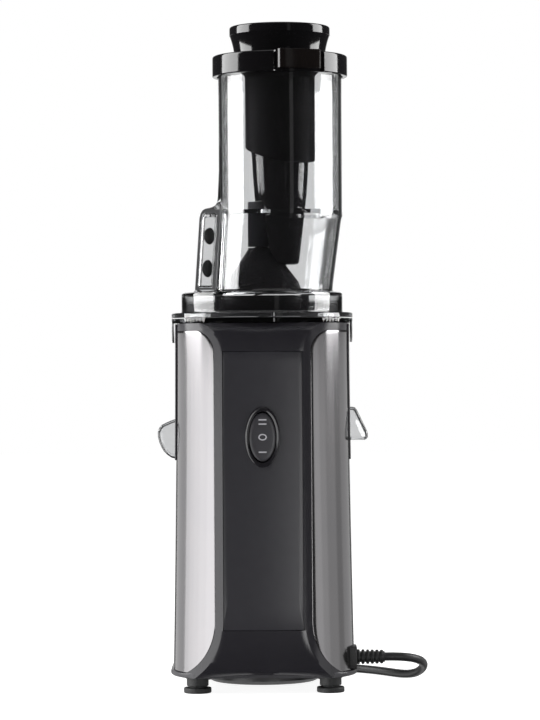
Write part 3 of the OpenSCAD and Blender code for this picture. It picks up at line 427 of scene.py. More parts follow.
def copying_tree(name, sizes, points):
    """A tree that puts copies of the shape it is given on points made by another function."""
    tree = bpy.data.node_groups.new(name, "GeometryNodeTree")
    tree.interface.new_socket("Shape", in_out="INPUT", socket_type="NodeSocketGeometry")
    for label, kind in sizes + [("Material", "NodeSocketMaterial")]:
        tree.interface.new_socket(label, in_out="INPUT", socket_type=kind)
    tree.interface.new_socket("Copies", in_out="OUTPUT", socket_type="NodeSocketGeometry")
    given = add(tree, "NodeGroupInput").outputs
    where, scale = points(tree, given)
    copies = add(tree, "GeometryNodeInstanceOnPoints", {"Points": where, "Instance": given["Shape"]})
    if scale is not None:
        tree.links.new(scale, copies.inputs["Scale"])
    real = add(tree, "GeometryNodeRealizeInstances", {0: copies.outputs[0]})
    dressed = add(tree, "GeometryNodeSetMaterial", {0: real.outputs[0], "Material": given["Material"]})
    add(tree, "NodeGroupOutput", {0: dressed.outputs[0]})
    return tree


def rib_points(tree, given):
    """Points in a line along X; each rib is a little smaller than the one before."""
    line = add(tree, "GeometryNodeMeshLine", {"Count": given["Ribs"], "Start Location": given["Start"],
               "Offset": given["Pitch"]})
    number = add(tree, "GeometryNodeInputIndex").outputs[0]
    less = add(tree, "ShaderNodeMath", {0: number, 1: given["Taper"]}, operation="MULTIPLY").outputs[0]
    size = add(tree, "ShaderNodeMath", {0: 1.0, 1: less}, operation="SUBTRACT").outputs[0]
    return line.outputs[0], add(tree, "ShaderNodeCombineXYZ", {0: 1.0, 1: size, 2: size}).outputs[0]


# flexible PVC, injected over the lead: satin, with a faint flow grain
moulded_pvc = moulded("moulded black PVC", "#0d0d0e", "#151516", (0.42, 0.58), 0.8, 0.04)

GLAND = (-27, 23.2)         # the cord's way out of the tower, in y and z
RELIEF_X = (66.8, 86.9)
rib_profile = rounded([(1.6, 0), (5.45, 0, 0.7), (5.45, 2.15, 0.7), (1.6, 2.15)], 3)
ribs_tree = copying_tree("relief ribs", [("Ribs", "NodeSocketInt"), ("Start", "NodeSocketVector"),
                         ("Pitch", "NodeSocketVector"), ("Taper", "NodeSocketFloat")], rib_points)
ribs = grown(ringed(on_x(rib_profile, (0, 0, 0), 32), 32), ribs_tree, {
    "Ribs": 6, "Start": [v * MM for v in (RELIEF_X[0], *GLAND)], "Pitch": (3.35 * MM, 0, 0),
    "Taper": 0.016, "Material": moulded_pvc})
core_profile = rounded([(3.2, RELIEF_X[0] - 8), (4.0, RELIEF_X[0] - 8), (4.0, RELIEF_X[1], 0.6),
                        (3.2, RELIEF_X[1], 0.3)])
core = ringed(on_x(core_profile, (0, *GLAND), 32), 32)
strain_relief = finished(joined(ribs, core), "ribbed_relief", moulded_pvc, "base",
                         ["strain_relief"])

BLOCK_FACES = [(0, 2, 3, 1), (4, 5, 7, 6), (0, 1, 5, 4), (2, 6, 7, 3), (0, 4, 6, 2), (1, 3, 7, 5)]


def boxed(low, high):
    """Points and faces of a block, for a piece whose edges are then rounded."""
    points = [(x, y, z) for z in (low[2], high[2]) for y in (low[1], high[1]) for x in (low[0], high[0])]
    return points, BLOCK_FACES


gland = closed_mesh(*boxed((56.8, GLAND[0] - 8.5, GLAND[1] - 8.3),
                    (66.8, GLAND[0] + 8.5, GLAND[1] + 8.3)), edge=0.9)
finished(gland, "gland_block", moulded_pvc, "base", ["cord_gland"])

PLUG_X, PLUG_Y, PLUG_Z = -2, COIL_Y + 34, 19.4      # where the cord goes into the plug
plug_rings = [(0, 3.5, 0), (0.4, 4.3, 0), (7, 4.6, 0), (8.5, 5.4, 3), (12, 6.9, 6), (16, 7, 6.2),
              (24, 6.8, 5.2), (33, 6.9, 4.2), (34.6, 6.6, 4), (35, 5.8, 3.6)]
plug_points = []
for x, r, lobe in plug_rings:
    for a in full_turn(32):
        side = math.cos(a)
        y = r * side + math.copysign(lobe, side) * min(1, 4 * abs(side))
        plug_points.append((PLUG_X + x, PLUG_Y + y, PLUG_Z + r * math.sin(a)))
plug_body = finished(ringed(plug_points, 32, "capped"), "plug_body", moulded_pvc, "base",
                     ["plug"], 50)

# nickel-plated brass, turned: bright and smooth
nickel = moulded("nickel-plated brass", "#b9b6ae", "#c9c6bf", (0.16, 0.28), 0.6, 0.01, Metallic=1)
pin_profile = rounded([(0.2, 30), (2, 30), (2, 51, 1.6), (0.2, 51)])
pins = [ringed(on_x(pin_profile, (PLUG_X, PLUG_Y + y, PLUG_Z), 20), 20) for y in (-9.3, 9.3)]
plug_pins = finished(joined(*pins), "plug_pins", nickel, "base", [])


# ---- tower: black frame and inner wall ----
# One ABS moulding. Its narrow bands run beside the metal panels and turn outwards at both
# ends; between them the front and the back are scooped. Inside it carries the whole drive.
TOWER_TOP = 263.8
PANEL_LOW, PANEL_HIGH = 14.6, 258.5
CORNER_R = 48
FLAT_IN = 1.4
BAND_X, FRONT_X = 34.3, 28.5
FLARE_LOW, FLARE_TOP = (52, 44), (243, 16)      # height where it starts, and its radius
SLOT_Y, SLOT_Z = 23, 165.1
PLATE_LOW, PLATE_HIGH = 45.95, 243.35           # the flat panels between the frame's bands


def half_at(z):
    """Half width of the tower at a height."""
    return 62.2 + 3.3 * (max(0, TOWER_TOP - z) / (TOWER_TOP - PANEL_LOW)) ** 1.6


def tower_x(y, z, inset=0):
    """Half width of the tower's outline at a distance to the front or back."""
    corner = half_at(z) - CORNER_R
    r = CORNER_R - inset
    return corner + math.sqrt(max(0, r * r - max(0, abs(y) - corner) ** 2))


def tower_y(x, z, inset=0):
    """Half depth of the tower's outline at a distance to the side: it is a little flatter."""
    return min(tower_x(x, z, inset), half_at(z) - inset - FLAT_IN)


def flare(x, z, more=0):
    """A line that is upright at x and bends outwards at both ends of the tower."""
    for past, r in ((FLARE_LOW[0] - z, FLARE_LOW[1] + more), (z - FLARE_TOP[0], FLARE_TOP[1] + more)):
        if past > 0:
            return x + r - math.sqrt(r * r - min(r - 0.1, past) ** 2)
    return x


def edge_x(z):
    """Half width of the frame's bands at a height, as far as the metal panels."""
    return flare(BAND_X, z)


def front_x(z):
    """Half width between the frame's bands at a height."""
    return flare(FRONT_X, z, BAND_X - FRONT_X)


def spaced(low, high, steps):
    """Values that share a stretch out evenly, with both of its ends."""
    return [low + (high - low) * i / steps for i in range(steps + 1)]


def side_points(z, inset, x_from, slot_y=SLOT_Y):
    """The outline from the metal panel's front edge to the middle of the side."""
    corner = half_at(z) - CORNER_R
    r = CORNER_R - inset
    start = math.asin(min(1, (x_from - corner) / r))
    end = math.acos(max(-1, min(1, (slot_y - corner) / r)))
    arc = [(corner + r * math.sin(a), -corner - r * math.cos(a)) for a in spaced(start, end, 16)]
    return arc + [(tower_x(y, z, inset), y) for y in spaced(-slot_y, 0, 6)[1:]]


def four_ways(quarter):
    """A whole outline from the quarter between its front and its right side."""
    right = quarter + [(x, -y) for x, y in quarter[-2::-1]]
    return right + [(-x, y) for x, y in right[-2:0:-1]]


def frame_ring(z, inset, foot):
    """The frame's outline at a height; at its foot the front is lower than the sides."""
    x_in = front_x(z)
    x_out = min(edge_x(z), 57.5 if foot else 56)
    depth = tower_y(x_in, z)
    bed = depth - (1.7 if PLATE_LOW - 0.15 < z < PLATE_HIGH + 0.15 else 0)
    quarter = [(x, -bed) for x in spaced(0, x_in, 8)]
    quarter += [(x, -tower_y(x, z)) for x in spaced(x_in + 0.01, x_out, 4)]
    return four_ways(quarter + side_points(z, inset, x_out))


levels = spaced(PANEL_LOW, 45.5, 14) + [45.7, 45.9] + spaced(52, 160, 6) + [SLOT_Z, 185]
levels += spaced(205, 243.4, 3) + [243.6] + spaced(245, PANEL_HIGH, 10)
rings = [[(x, y, 11.1 + 2.3 * max(0, 1 - (x / 50) ** 2) if abs(x) < 57.6 and abs(y) > 40 else PANEL_LOW)
          for x, y in frame_ring(11.6, 1.75, True)]]
for z in levels:
    rings.append([(x, y, z) for x, y in frame_ring(z, 1.75, False)])
for z in [PANEL_HIGH + 0.02, 261.3, TOWER_TOP]:
    rings.append([(x, y, z) for x, y in frame_ring(z, 0, False)])
frame_points = [p for ring in rings for p in ring]


def in_slot(face, points, margin=0.1):
    """Whether a face lies in one of the two slots for the spouts."""
    return all(abs(points[i][1]) < SLOT_Y + margin and points[i][2] > SLOT_Z - margin
               and abs(points[i][0]) > 50 for i in face)


GAP_X, GAP_LOW, GAP_HIGH = 14.3, 159, 206       # the opening behind the switch


def behind_switch(face):
    """Whether a face lies in the opening behind the switch."""
    return all(abs(frame_points[i][0]) < GAP_X and frame_points[i][1] < 0
               and GAP_LOW < frame_points[i][2] < GAP_HIGH for i in face)


# ABS from a polished mould: black, with clear reflections of the boxes
gloss_frame = moulded("polished black ABS frame", "#1e1d21", "#242327", (0.16, 0.24), 1.5, 0.01)
housing_faces = [f for f in grid_faces(len(rings), len(rings[0]), False, True)
                 if not (in_slot(f, frame_points) or behind_switch(f))]
housing = closed_mesh(frame_points, housing_faces, wall=2.4)
finished(housing, "tower_frame", gloss_frame, "base", ["housing"], 30)

# ---- metal side panels ----
# Pressed aluminium wrapped round each side of the tower, finely brushed up and down. The
# panels tuck behind the frame's bands and are cut away for the spouts.

# satin aluminium in a warm silver grey: soft-edged reflections with faint upright streaks
brushed, metal, place = surface("satin silver aluminium")
stretch = add(metal, "ShaderNodeMapping", {"Vector": place, "Scale": (1, 1, 0.02)}).outputs[0]
lines = add(metal, "ShaderNodeTexNoise", {"Vector": stretch, "Scale": 1 / (0.5 * MM), "Detail": 3}).outputs[0]
clouds = add(metal, "ShaderNodeTexNoise", {"Vector": place, "Scale": 1 / (30 * MM), "Detail": 2}).outputs[0]
two_toned(metal, clouds, ("#868587", "#8b898a"), lines, (0.3, 0.7), (0.12, 0.16), 0.004, 0.4, Metallic=1)

panel_levels = spaced(PANEL_LOW + 0.1, 52, 16) + spaced(60, SLOT_Z, 8) + spaced(175, 243, 6)
panel_levels += spaced(245, PANEL_HIGH, 8)
for side, name in ((-1, "panel_left"), (1, "panel_right")):
    panel_points = []
    for z in panel_levels:
        front = side_points(z, 0, edge_x(z) + 0.2, SLOT_Y + 0.2)
        ring = front + [(x, -y) for x, y in front[-2::-1]]
        panel_points += [(side * x, y, z) for x, y in ring]
    faces = [f for f in grid_faces(len(panel_levels), len(ring)) if not in_slot(f, panel_points, 0.3)]
    panel = closed_mesh(panel_points, faces, wall=1.5, edge=0.35, edge_angle=50)
    finished(panel, name.replace("panel", "side_panel"), brushed, "base", [name], 30)

# ---- front and rear panels ----
# Flat ABS plates set between the frame's bands, with a fine satin grain; the front one has
# the hole for the switch.

# fine-textured ABS: an even dark grey sheen, in which no reflection has an edge
satin_black = moulded("satin black ABS", "#201f24", "#27262b", (0.3, 0.38), 0.5, 0.02)
SWITCH_Z = 182.7
HOLE = (12, 20.7)           # the switch hole's half width and half height
PROUD, BULGE = 0.2, 1.1     # how far the plates stand out, and how much less at their edges
across, low, high = FRONT_X - 0.05, PLATE_LOW, PLATE_HIGH
border = [(x, low) for x in spaced(-across, across, 16)] + [(across, z) for z in spaced(low, high, 32)[1:]]
border += [(-x, low + high - z) for x, z in border[1:-1]]
for side, name in ((-1, "front_panel"), (1, "rear_panel")):
    hole_x, hole_z = HOLE if side < 0 else (0.4, 0.4)
    points = []
    for share in (0, 0.03, 0.08, 0.16, 0.27, 0.4, 0.55, 0.7, 0.85, 1):
        for x, z in border:
            a = math.atan2((z - SWITCH_Z) / HOLE[1], x / HOLE[0])
            x_in, z_in = hole_x * math.cos(a), SWITCH_Z + hole_z * math.sin(a)
            x, z = x_in + (x - x_in) * share, z_in + (z - z_in) * share
            points.append((x, side * (tower_y(FRONT_X, z) + PROUD - BULGE * (x / FRONT_X) ** 2), z))
    faces = grid_faces(10, len(border), False, True)
    if side > 0:
        faces.append(tuple(range(len(border))))
    plate = closed_mesh(points, faces, wall=1.6, edge=0.3, edge_angle=50)
    finished(plate, name.replace("_", "_satin_"), satin_black, "base", [name], 30)

# ---- base plate and trim ring ----
# The ABS base plate closes the tower from below. Its edge stands out under the metal panels as
# a trim ring.

# textured ABS, greyer and duller than the frame, so that the ring stands apart from it
base_black = moulded("satin grey-black ABS", "#2b2a2e", "#333236", (0.3, 0.42), 0.7, 0.02)

BASE_Z = 12.5       # the height at which the plate takes the tower's outline


def base_outline(grow):
    """The base plate's outline: proud under the metal panels, drawn in behind the scoops."""
    depth = tower_y(front_x(12), 12) - 1.2
    quarter = [(x, -depth) for x in spaced(0, 50, 6)]
    corner = half_at(BASE_Z) - CORNER_R
    for a in spaced(math.asin((52 - corner) / CORNER_R), math.pi / 2, 24):
        proud = grow * ease(corner + CORNER_R * math.sin(a), 50, 58)
        r = CORNER_R + proud
        quarter.append((corner + r * math.sin(a), -corner - r * math.cos(a)))
    return four_ways(quarter + [(half_at(BASE_Z) + grow, 0)])


base_points = [(x, y, z) for z, grow in ((11.0, 1.0), (11.5, 1.6), (12.2, 1.8), (13.6, 1.8), (14.2, 1.5),
               (14.5, 0.9)) for x, y in base_outline(grow)]
base_plate = ringed(base_points, len(base_outline(1)), "capped")
finished(base_plate, "base_plate_trim", base_black, "base", ["base_plate"])

# ---- rubber feet ----
# Four turned rubber feet, each a disc on a neck with a groove between them, held by a screw
# from below.
def at_turn(x, r, a, z):
    """The point at a distance and a turn from the upright axis that stands at x."""
    return x + r * math.cos(a), r * math.sin(a), z


def turned(profile, steps, x=0, ends="joined"):
    """A mesh of an outline turned about the upright axis that stands at x."""
    return ringed([at_turn(x, r, a, z) for r, z in profile for a in full_turn(steps)], steps, ends)


# soft rubber, dull from the mould: nearly black, with a faint bloom
rubber = moulded("moulded black rubber", "#111112", "#191a1b", (0.5, 0.68), 0.9, 0.05)
foot_profile = rounded([(3.2, 0), (9.85, 0, 0.8), (9.85, 3.8, 0.8), (5.9, 3.9), (5.9, 4.9),
                        (7.8, 5.0, 0.5), (7.8, 11.0), (1.6, 11.0), (1.6, 3.8), (3.2, 3.8)])


def corner_points(tree, given):
    """The four corners of a rectangle round the axis."""
    return add(tree, "GeometryNodeMeshGrid", {"Size X": given["Across"], "Size Y": given["Along"],
               "Vertices X": 2, "Vertices Y": 2}).outputs[0], None


feet_tree = copying_tree("feet", [("Across", "NodeSocketFloat"), ("Along", "NodeSocketFloat")],
                         corner_points)
feet = grown(turned(foot_profile, 48), feet_tree, {"Across": 95 * MM, "Along": 86 * MM, "Material": rubber})
finished(feet, "rubber_feet", rubber, "base", ["foot_1", "foot_2", "foot_3", "foot_4"])

# ---- rocker switch ----
# A glossy oval bezel snapped into the front panel, with a rocker of satin ABS in it. Printed
# grey bars and a ring mark its three positions.
FRONT_Y = -61.35


def ovals(rings, ends="joined"):
    """A mesh from ovals of given half widths, half heights and distances behind the panel."""
    return ringed([(w * math.cos(a), FRONT_Y + y, SWITCH_Z + h * math.sin(a)) for w, h, y in rings
                   for a in full_turn(72)], 72, ends)


# ABS from a polished mould: the bezel's rim catches a thin bright line
gloss_switch = moulded("polished black switch ABS", "#141316", "#1a191c", (0.12, 0.2), 1.2, 0.01)
# finely textured ABS: the rocker looks dull and a little paler than its bezel
satin_switch = moulded("satin black rocker ABS", "#242327", "#2c2b30", (0.34, 0.44), 0.6, 0.02)
# printed ink: flat pale grey, with no shine of its own
grey_ink = moulded("grey pad-printed ink", "#b0afb4", "#bcbbc0", (0.45, 0.6), 0.3, 0.01)
bezel = ovals([(12.55, 21.4, 0.2), (12.55, 21.4, -0.7), (12.35, 21.2, -1.2), (11.9, 20.75, -1.48),
               (11.3, 20.1, -1.42), (10.5, 19, -1.1), (10.0, 18.3, -0.7), (9.8, 18.1, 0),
               (9.8, 18.1, 5), (11.6, 20.2, 5), (11.6, 20.2, 0.2)])
finished(bezel, "switch_bezel_gloss", gloss_switch, "base", ["switch_bezel"])
rocker = ovals([(9.4, 17.2, 2), (9.4, 17.2, -0.2), (9.2, 17, -0.65), (8.7, 16.4, -0.95),
                (7, 14, -1.05), (4, 8, -1.08), (1, 2, -1.1)], "capped")
finished(rocker, "rocker_satin", satin_switch, "switch_rocker", ["rocker"])

ring_mark = ovals([(2.95, 2.3, -1.04), (2.95, 2.3, -1.17), (2.2, 1.55, -1.17), (2.2, 1.55, -1.04)])
bar_marks = [closed_mesh(*boxed((-2.8, FRONT_Y - 1.15, SWITCH_Z + up - 0.4),
                                (2.8, FRONT_Y - 1.0, SWITCH_Z + up + 0.4))) for up in (12.3, 9.3, -10.6)]
marks = joined(ring_mark, *bar_marks)
finished(marks, "rocker_marks", grey_ink, "switch_rocker", [])

# ---- bowl ----
# The juicing bowl is one injected piece of clear copolyester, sunk into the tower, with a
# wide rim and a skirt on each side; short channels lead to its spouts.
def smooth_copy(node, material, angle=32):
    """A copy of a CAD node's mesh with its doubles merged, so that its curves shade smoothly."""
    mesh = edited(frame["nodes"][node].data.copy(),
                  lambda work: bmesh.ops.remove_doubles(work, verts=work.verts, dist=0.00001))
    bodies = frame["record"]["behaviour"]["bodies"]
    body = next(b for b, nodes in bodies.items() if node in nodes)
    return finished(mesh, node + "_smooth", material, body, [node], angle)


# copolyester as clear as glass: what lies behind it bends, and its edges turn dark
clear, glass, place = surface("clear copolyester")
flow = add(glass, "ShaderNodeTexNoise", {"Vector": place, "Scale": 1 / (18 * MM), "Detail": 1}).outputs[0]
two_toned(glass, flow, ("#f6f7f8", "#fbfbfb"), flow, (0, 1), (0.002, 0.01), Transmission_Weight=1, IOR=1.54)
# it lets light through to what it shades, and thick stretches of it look faintly grey
lets_light = add(glass, "ShaderNodeBsdfTransparent", {"Color": (0.9, 0.9, 0.9, 1)})
window = add(glass, "ShaderNodeMixShader", {0: add(glass, "ShaderNodeLightPath").outputs["Is Shadow Ray"],
             1: glass.nodes["Principled BSDF"].outputs[0], 2: lets_light.outputs[0]})
haze = add(glass, "ShaderNodeVolumeAbsorption", {"Color": (0.35, 0.36, 0.38, 1), "Density": 25.0})
for socket, value in (("Surface", window), ("Volume", haze)):
    glass.links.new(value.outputs[0], glass.nodes["Material Output"].inputs[socket])
smooth_copy("bowl", clear)

# ---- strainer, its mesh and the bowl's shaft seal ----
# The strainer basket is a ribbed ABS frame round a sleeve of etched stainless mesh; a
# silicone lip seals the drive shaft in the bowl's floor.

# tough ABS from a plain mould: a low sheen
basket_plastic = moulded("moulded grey-black ABS", "#1f1f22", "#28282b", (0.28, 0.4), 0.8, 0.02)
# moulded silicone: dark grey and dull
silicone = moulded("moulded dark grey silicone", "#1b1b1d", "#232325", (0.5, 0.66), 0.7, 0.03,
                   Specular_IOR_Level=0.4)
smooth_copy("strainer_frame", basket_plastic)
smooth_copy("bowl_seal", silicone)

# steel that shines between rows of dark holes; 0.3 mm holes are drawn at 0.9 mm so that they show
etched, sieve, place = surface("etched stainless mesh")
cells = add(sieve, "ShaderNodeTexVoronoi", {"Vector": place, "Scale": 1 / (0.9 * MM), "Randomness": 0.1})
hole = add(sieve, "ShaderNodeMapRange", {"Value": cells.outputs["Distance"], "From Min": 0.22,
           "From Max": 0.3}).outputs[0]
two_toned(sieve, hole, ("#2a2a2b", "#b4b2ae"), hole, (0, 1), (0.6, 0.3), 0.1, Metallic=1)


def dress(material, *nodes):
    """Gives CAD nodes whose shape stays a better material."""
    for node in nodes:
        for place in frame["nodes"][node].material_slots:
            place.material = material


dress(etched, "strainer_mesh")

# ---- spouts ----
# Two clear copolyester spouts are pushed onto the bowl's channels, a rounded one for juice on
# the left and a longer, slanted one for pulp on the right. Both open downwards.
SPOUT_WALL, SPOUT_EDGE = 2.3, 2.2
juice_side = [(60.5, 165.7), (64.1, 166.2), (66.5, 166.9), (69.2, 168.8), (71.7, 171.2), (73.6, 174.3),
              (75.1, 178), (76.1, 182), (76.2, 185.2), (75.2, 188.4), (73.4, 190.6), (70, 192.3),
              (66.8, 193.7), (63.5, 194.9), (60.5, 195)]
pulp_side = [(60.5, 179), (64.3, 179), (69, 179), (73.7, 179), (75.3, 179.7), (76.2, 181.2),
             (76.1, 184.3), (74.2, 188.6), (71.4, 194.4), (68.3, 200.8), (66.9, 202.6), (65, 203),
             (60.5, 203)]


def spout(name, side, half, mouth_half, mouth, sign, node):
    """A spout from its side outline; the outline's stretch from 1 to mouth is left open."""
    across = [-half, -mouth_half, 0, mouth_half, half]
    points = [(sign * x, y, z) for x, z in side for y in across]
    faces = [f for f in grid_faces(len(side), 5)
             if not (5 <= f[0] < 5 * mouth and 1 <= f[0] % 5 <= 2)]
    faces += [tuple(5 * i + end for i in range(len(side))) for end in (0, 4)]
    made = bpy.data.objects.new(name, closed_mesh(points, faces))
    modify(made, "BEVEL", width=SPOUT_EDGE * MM, segments=4, limit_method="ANGLE",
           angle_limit=math.radians(60))
    modify(made, "SOLIDIFY", thickness=SPOUT_WALL * MM, offset=-1, use_even_offset=True)
    finished(settled(made), name, clear, "bowl", [node], 30)


spout("clear_juice_spout", juice_side, 13.4, 10.1, 4, -1, "juice_spout")
spout("clear_pulp_spout", pulp_side, 16, 12.7, 3, 1, "pulp_spout")

# ---- slot covers ----
# Glossy black strips hang from the bowl and close the slots above the spouts, flush with the
# metal panels.
for sign, name, half, low, high in ((-1, "juice_cover", 13.5, 165.6, 195.1),
                                    (1, "pulp_cover", 16.1, 178.9, 203.1)):
    heights = spaced(165.4, low, 1) + spaced(low + 0.01, high, 4) + spaced(high + 0.01, 263.5, 14)
    widths = spaced(-22.7, -half, 3) + spaced(-half + 0.01, half - 0.01, 6) + spaced(half, 22.7, 3)
    points = [(sign * (tower_x(y, z) + 0.9), y, z) for z in heights for y in widths]
    faces = [f for f in grid_faces(len(heights), len(widths))
             if not all(abs(points[i][1]) < half + 0.02 and low - 0.02 < points[i][2] < high + 0.02
                        for i in f)]
    strip = closed_mesh(points, faces, wall=2.6, edge=0.4, edge_angle=50)
    finished(strip, "gloss_" + name, gloss_frame, "bowl", [name], 30)

# ---- hopper ----
# One clear injected piece: a foot that rests on the bowl's rim, a stepped skirt, the bulge
# over the auger, and the wide feed tube to one side of it.
FEED_X = 14


def circle_radius(angle, from_x, x, r):
    """Distance from a point on the X axis to a circle about another point of that axis."""
    d = x - from_x
    return d * math.cos(angle) + math.sqrt(max(0, r * r - (d * math.sin(angle)) ** 2))


def blend(a, b, reach):
    """The larger of two sizes, with a fillet where they are close."""
    near = max(0, reach - abs(a - b)) / reach
    return max(a, b) + near * near * reach / 4


POLE_X = 7


def ring_radius(angle, x, r, pocket=0, pocket_y=0):
    """The hopper's outline about its middle: a circle, and a pocket on its left."""
    r = circle_radius(angle, POLE_X, x, r)
    side, back = abs(math.sin(angle)), -math.cos(angle)
    if pocket and back > 0.3:
        box = -blend(-(pocket + POLE_X) / back, -pocket_y / max(side, 1e-6), 2.5)
        r = blend(r, box, 3)
    return r


CHAMBER_Z, CHAMBER_UP = 287, 58         # the chamber's foot, and its height up to the feed tube
CHAMBER_R, CHAMBER_IN = 43.2, 40.7      # its outer and inner radius at its foot


def chamber(z, low_r):
    """The chamber at a height: its middle, its radius, its pocket's reach and half width."""
    t = (z - CHAMBER_Z) / CHAMBER_UP
    return 8.2 + 5.8 * t, low_r + 1.9 * t, 48.6 - 4 * t, 17 - t


hopper_rows = [(268, 0, 65.5), (268, 0, 66.1), (270.9, 0, 66.1), (271.5, 0, 65.5), (271.5, 0, 60.2),
               (271.8, 0, 59.2), (272.6, 0, 58.8), (284.6, 0, 58.8), (285.7, 0, 58.4),
               (286.4, 0, 57.3), (286.5, 0, 55.5), (286.5, 4, 50), (286.6, 7, 46.8, 50, 19.5),
               (287.2, 8.2, 44, 49, 18)]
hopper_rows += [(z, *chamber(z, CHAMBER_R)) for z in spaced(288.4, 340, 10)]
hopper_rows += [(z, FEED_X, 45.1, pocket, 16 - max(0, z - 347) * 0.8) for z, pocket in (
    (341.7, 44.6), (344, 43.9), (346, 42.6), (347.1, 41), (347.55, 39.2), (347.9, 37.2), (348.7, 35),
    (350, 33.3), (352, 32.1), (354.5, 31.4), (357, 31))]
hopper_rows += [(z, FEED_X, r) for z, r in (
    (375, 45.1), (400, 45.1), (430, 45.1), (453.3, 45.1), (453.8, 44.9), (454, 44.4), (454, 43.1),
    (453.6, 42.7), (453, 42.6), (400, 42.6), (346.5, 42.6), (343.3, 42.6), (342.5, 42.55), (341, 42.5))]
hopper_rows += [(z, *chamber(z, CHAMBER_IN)[:2]) for z in spaced(338, 288, 9)]
hopper_rows += [(285, 8, 41.4), (284.2, 7, 43.5), (284, 0, 52), (283.9, 0, 55.2), (283, 0, 56.2),
                (282, 0, 56.3), (268.3, 0, 56.3), (268, 0, 56.6)]
hopper_turns = full_turn(216)
hopper_points = [at_turn(POLE_X, ring_radius(a, *ring), a, z) for z, *ring in hopper_rows
                 for a in hopper_turns]
hopper_mesh = ringed(hopper_points, len(hopper_turns))

# the pocket beside the chamber is hollow, so its inner skin faces the other way
hollow = []
hollow_rows = [(290, 0), (290.2, 0.8), (291.5, 1)] + [(z, 1) for z in spaced(296, 338, 5)]
hollow_rows += [(341, 0.97), (343, 0.85), (344.2, 0.6), (344.6, 0)]
for z, share in hollow_rows:
    axis_x, r, pocket, _ = chamber(z, CHAMBER_R)
    left, right = 2.4 - pocket, axis_x - r - 0.1
    middle = (left + right) / 2
    for x, y in rounded([(left, -14.4, 2), (right, -14.4, 2), (right, 14.4, 2), (left, 14.4, 2)], 6):
        hollow.append((middle + (x - middle) * share, y * share, z))
hollow_mesh = ringed(hollow, len(hollow) // len(hollow_rows), "left")
hollow_mesh.flip_normals()

ROOF_X, BOSS_R = 22, 12.4       # the middle of the roof's opening, and the boss it goes round


def opening_radius(angle):
    """From the middle of the roof's opening to its edge, which goes round the auger's bushing."""
    side = ROOF_X * math.sin(angle)
    if math.cos(angle) < 0 and BOSS_R > abs(side):
        return min(26, -ROOF_X * math.cos(angle) - math.sqrt(BOSS_R * BOSS_R - side * side))
    return 26


roof = []
for z, share in ((342.6, 1), (345.5, 1), (345.5, 0), (342.6, 0)):
    for a in hopper_turns:
        inner = opening_radius(a)
        outer = circle_radius(a, ROOF_X, FEED_X, 42.4)
        roof.append(at_turn(ROOF_X, inner + share * (outer - inner), a, z))
roof_mesh = ringed(roof, len(hopper_turns))
finished(joined(hopper_mesh, roof_mesh, hollow_mesh), "clear_hopper", clear, "hopper",
         ["hopper"], 30)

# two black rubber plugs close the pocket's core holes from inside
plug_profile = ((0, 9), (0.8, 9), (0.95, 9.4), (1, 10.2), (1, 13), (0, 13))
plugs = [ringed([(x + 4.3 * share * math.cos(a), y, z + 6.4 * share * math.sin(a))
                 for share, y in plug_profile for a in full_turn(40)], 40, "left")
         for x, z in ((-39.4, 304.4), (-37.9, 328.4))]
finished(joined(*plugs), "pocket_plugs", rubber, "hopper", [])

# white printed strokes on the foot and on the bowl's rim show how the two line up; the ink is flat
white_ink = moulded("white pad-printed ink", "#dcdcdf", "#e8e8ea", (0.4, 0.55), 0.4, 0.01)
for name, body, low, high in (("hopper_mark", "hopper", 268.3, 270.8), ("bowl_mark", "bowl", 264.5, 267.1)):
    points = [at_turn(0, r, math.radians(turned_by - 90), z) for r in (66.0, 66.08)
              for turned_by in (7.2, 7.9) for z in (low, high)]
    finished(closed_mesh(points, BLOCK_FACES), name, white_ink, body, [])
smooth_copy("hopper_bushing", basket_plastic)
smooth_copy("hopper_seal", silicone)

# ---- auger ----
# A massive screw with a cone on top, injected in one piece. It sits on the drive shaft's
# hexagon, and its upper end turns in the hopper's bushing.

# glass-filled resin, smooth from the mould: deep black with hardly any reflections
auger_black = moulded("moulded glass-filled black resin", "#0d0c0e", "#131214", (0.24, 0.32), 0.8, 0.006,
                      Specular_IOR_Level=0.06)
smooth_copy("auger", auger_black, 38)

# ---- lid with its feed sleeve ----
# A polished black ring caps the feed tube. A funnel leads into a long sleeve, cut slantwise
# at its lower end, which guides the pusher; the ring is notched for the latch.

# ABS from a mirror-polished mould: deep black, with sharp reflections
gloss_black = moulded("polished black ABS", "#0c0b0d", "#121113", (0.06, 0.12), 2, 0.008)
LID_R = 49.3
LATCH_TURN = math.radians(-72.5)
NOTCH_Z, NOTCH_HALF, HINGE_HALF = 455.3, 13.61, 20.9    # the notch's floor, and half widths in degrees
NOTCH_R, HINGE_R = 41.3, 46.9       # how far out the ring reaches behind the tab and under its hinge
SLEEVE_Z, SLEEVE_SLANT, SLEEVE_TURN = 388.03, math.tan(math.radians(18.3)), math.radians(-56)


def lid_limit(angle, z):
    """How far out the lid may reach: it is cut away behind the latch and under its hinge."""
    off = abs(math.remainder(angle - LATCH_TURN, 2 * math.pi))
    if off < math.radians(NOTCH_HALF) and z > NOTCH_Z:
        return NOTCH_R / math.cos(off)
    return HINGE_R + 1.2 * max(0, math.degrees(off) - HINGE_HALF)


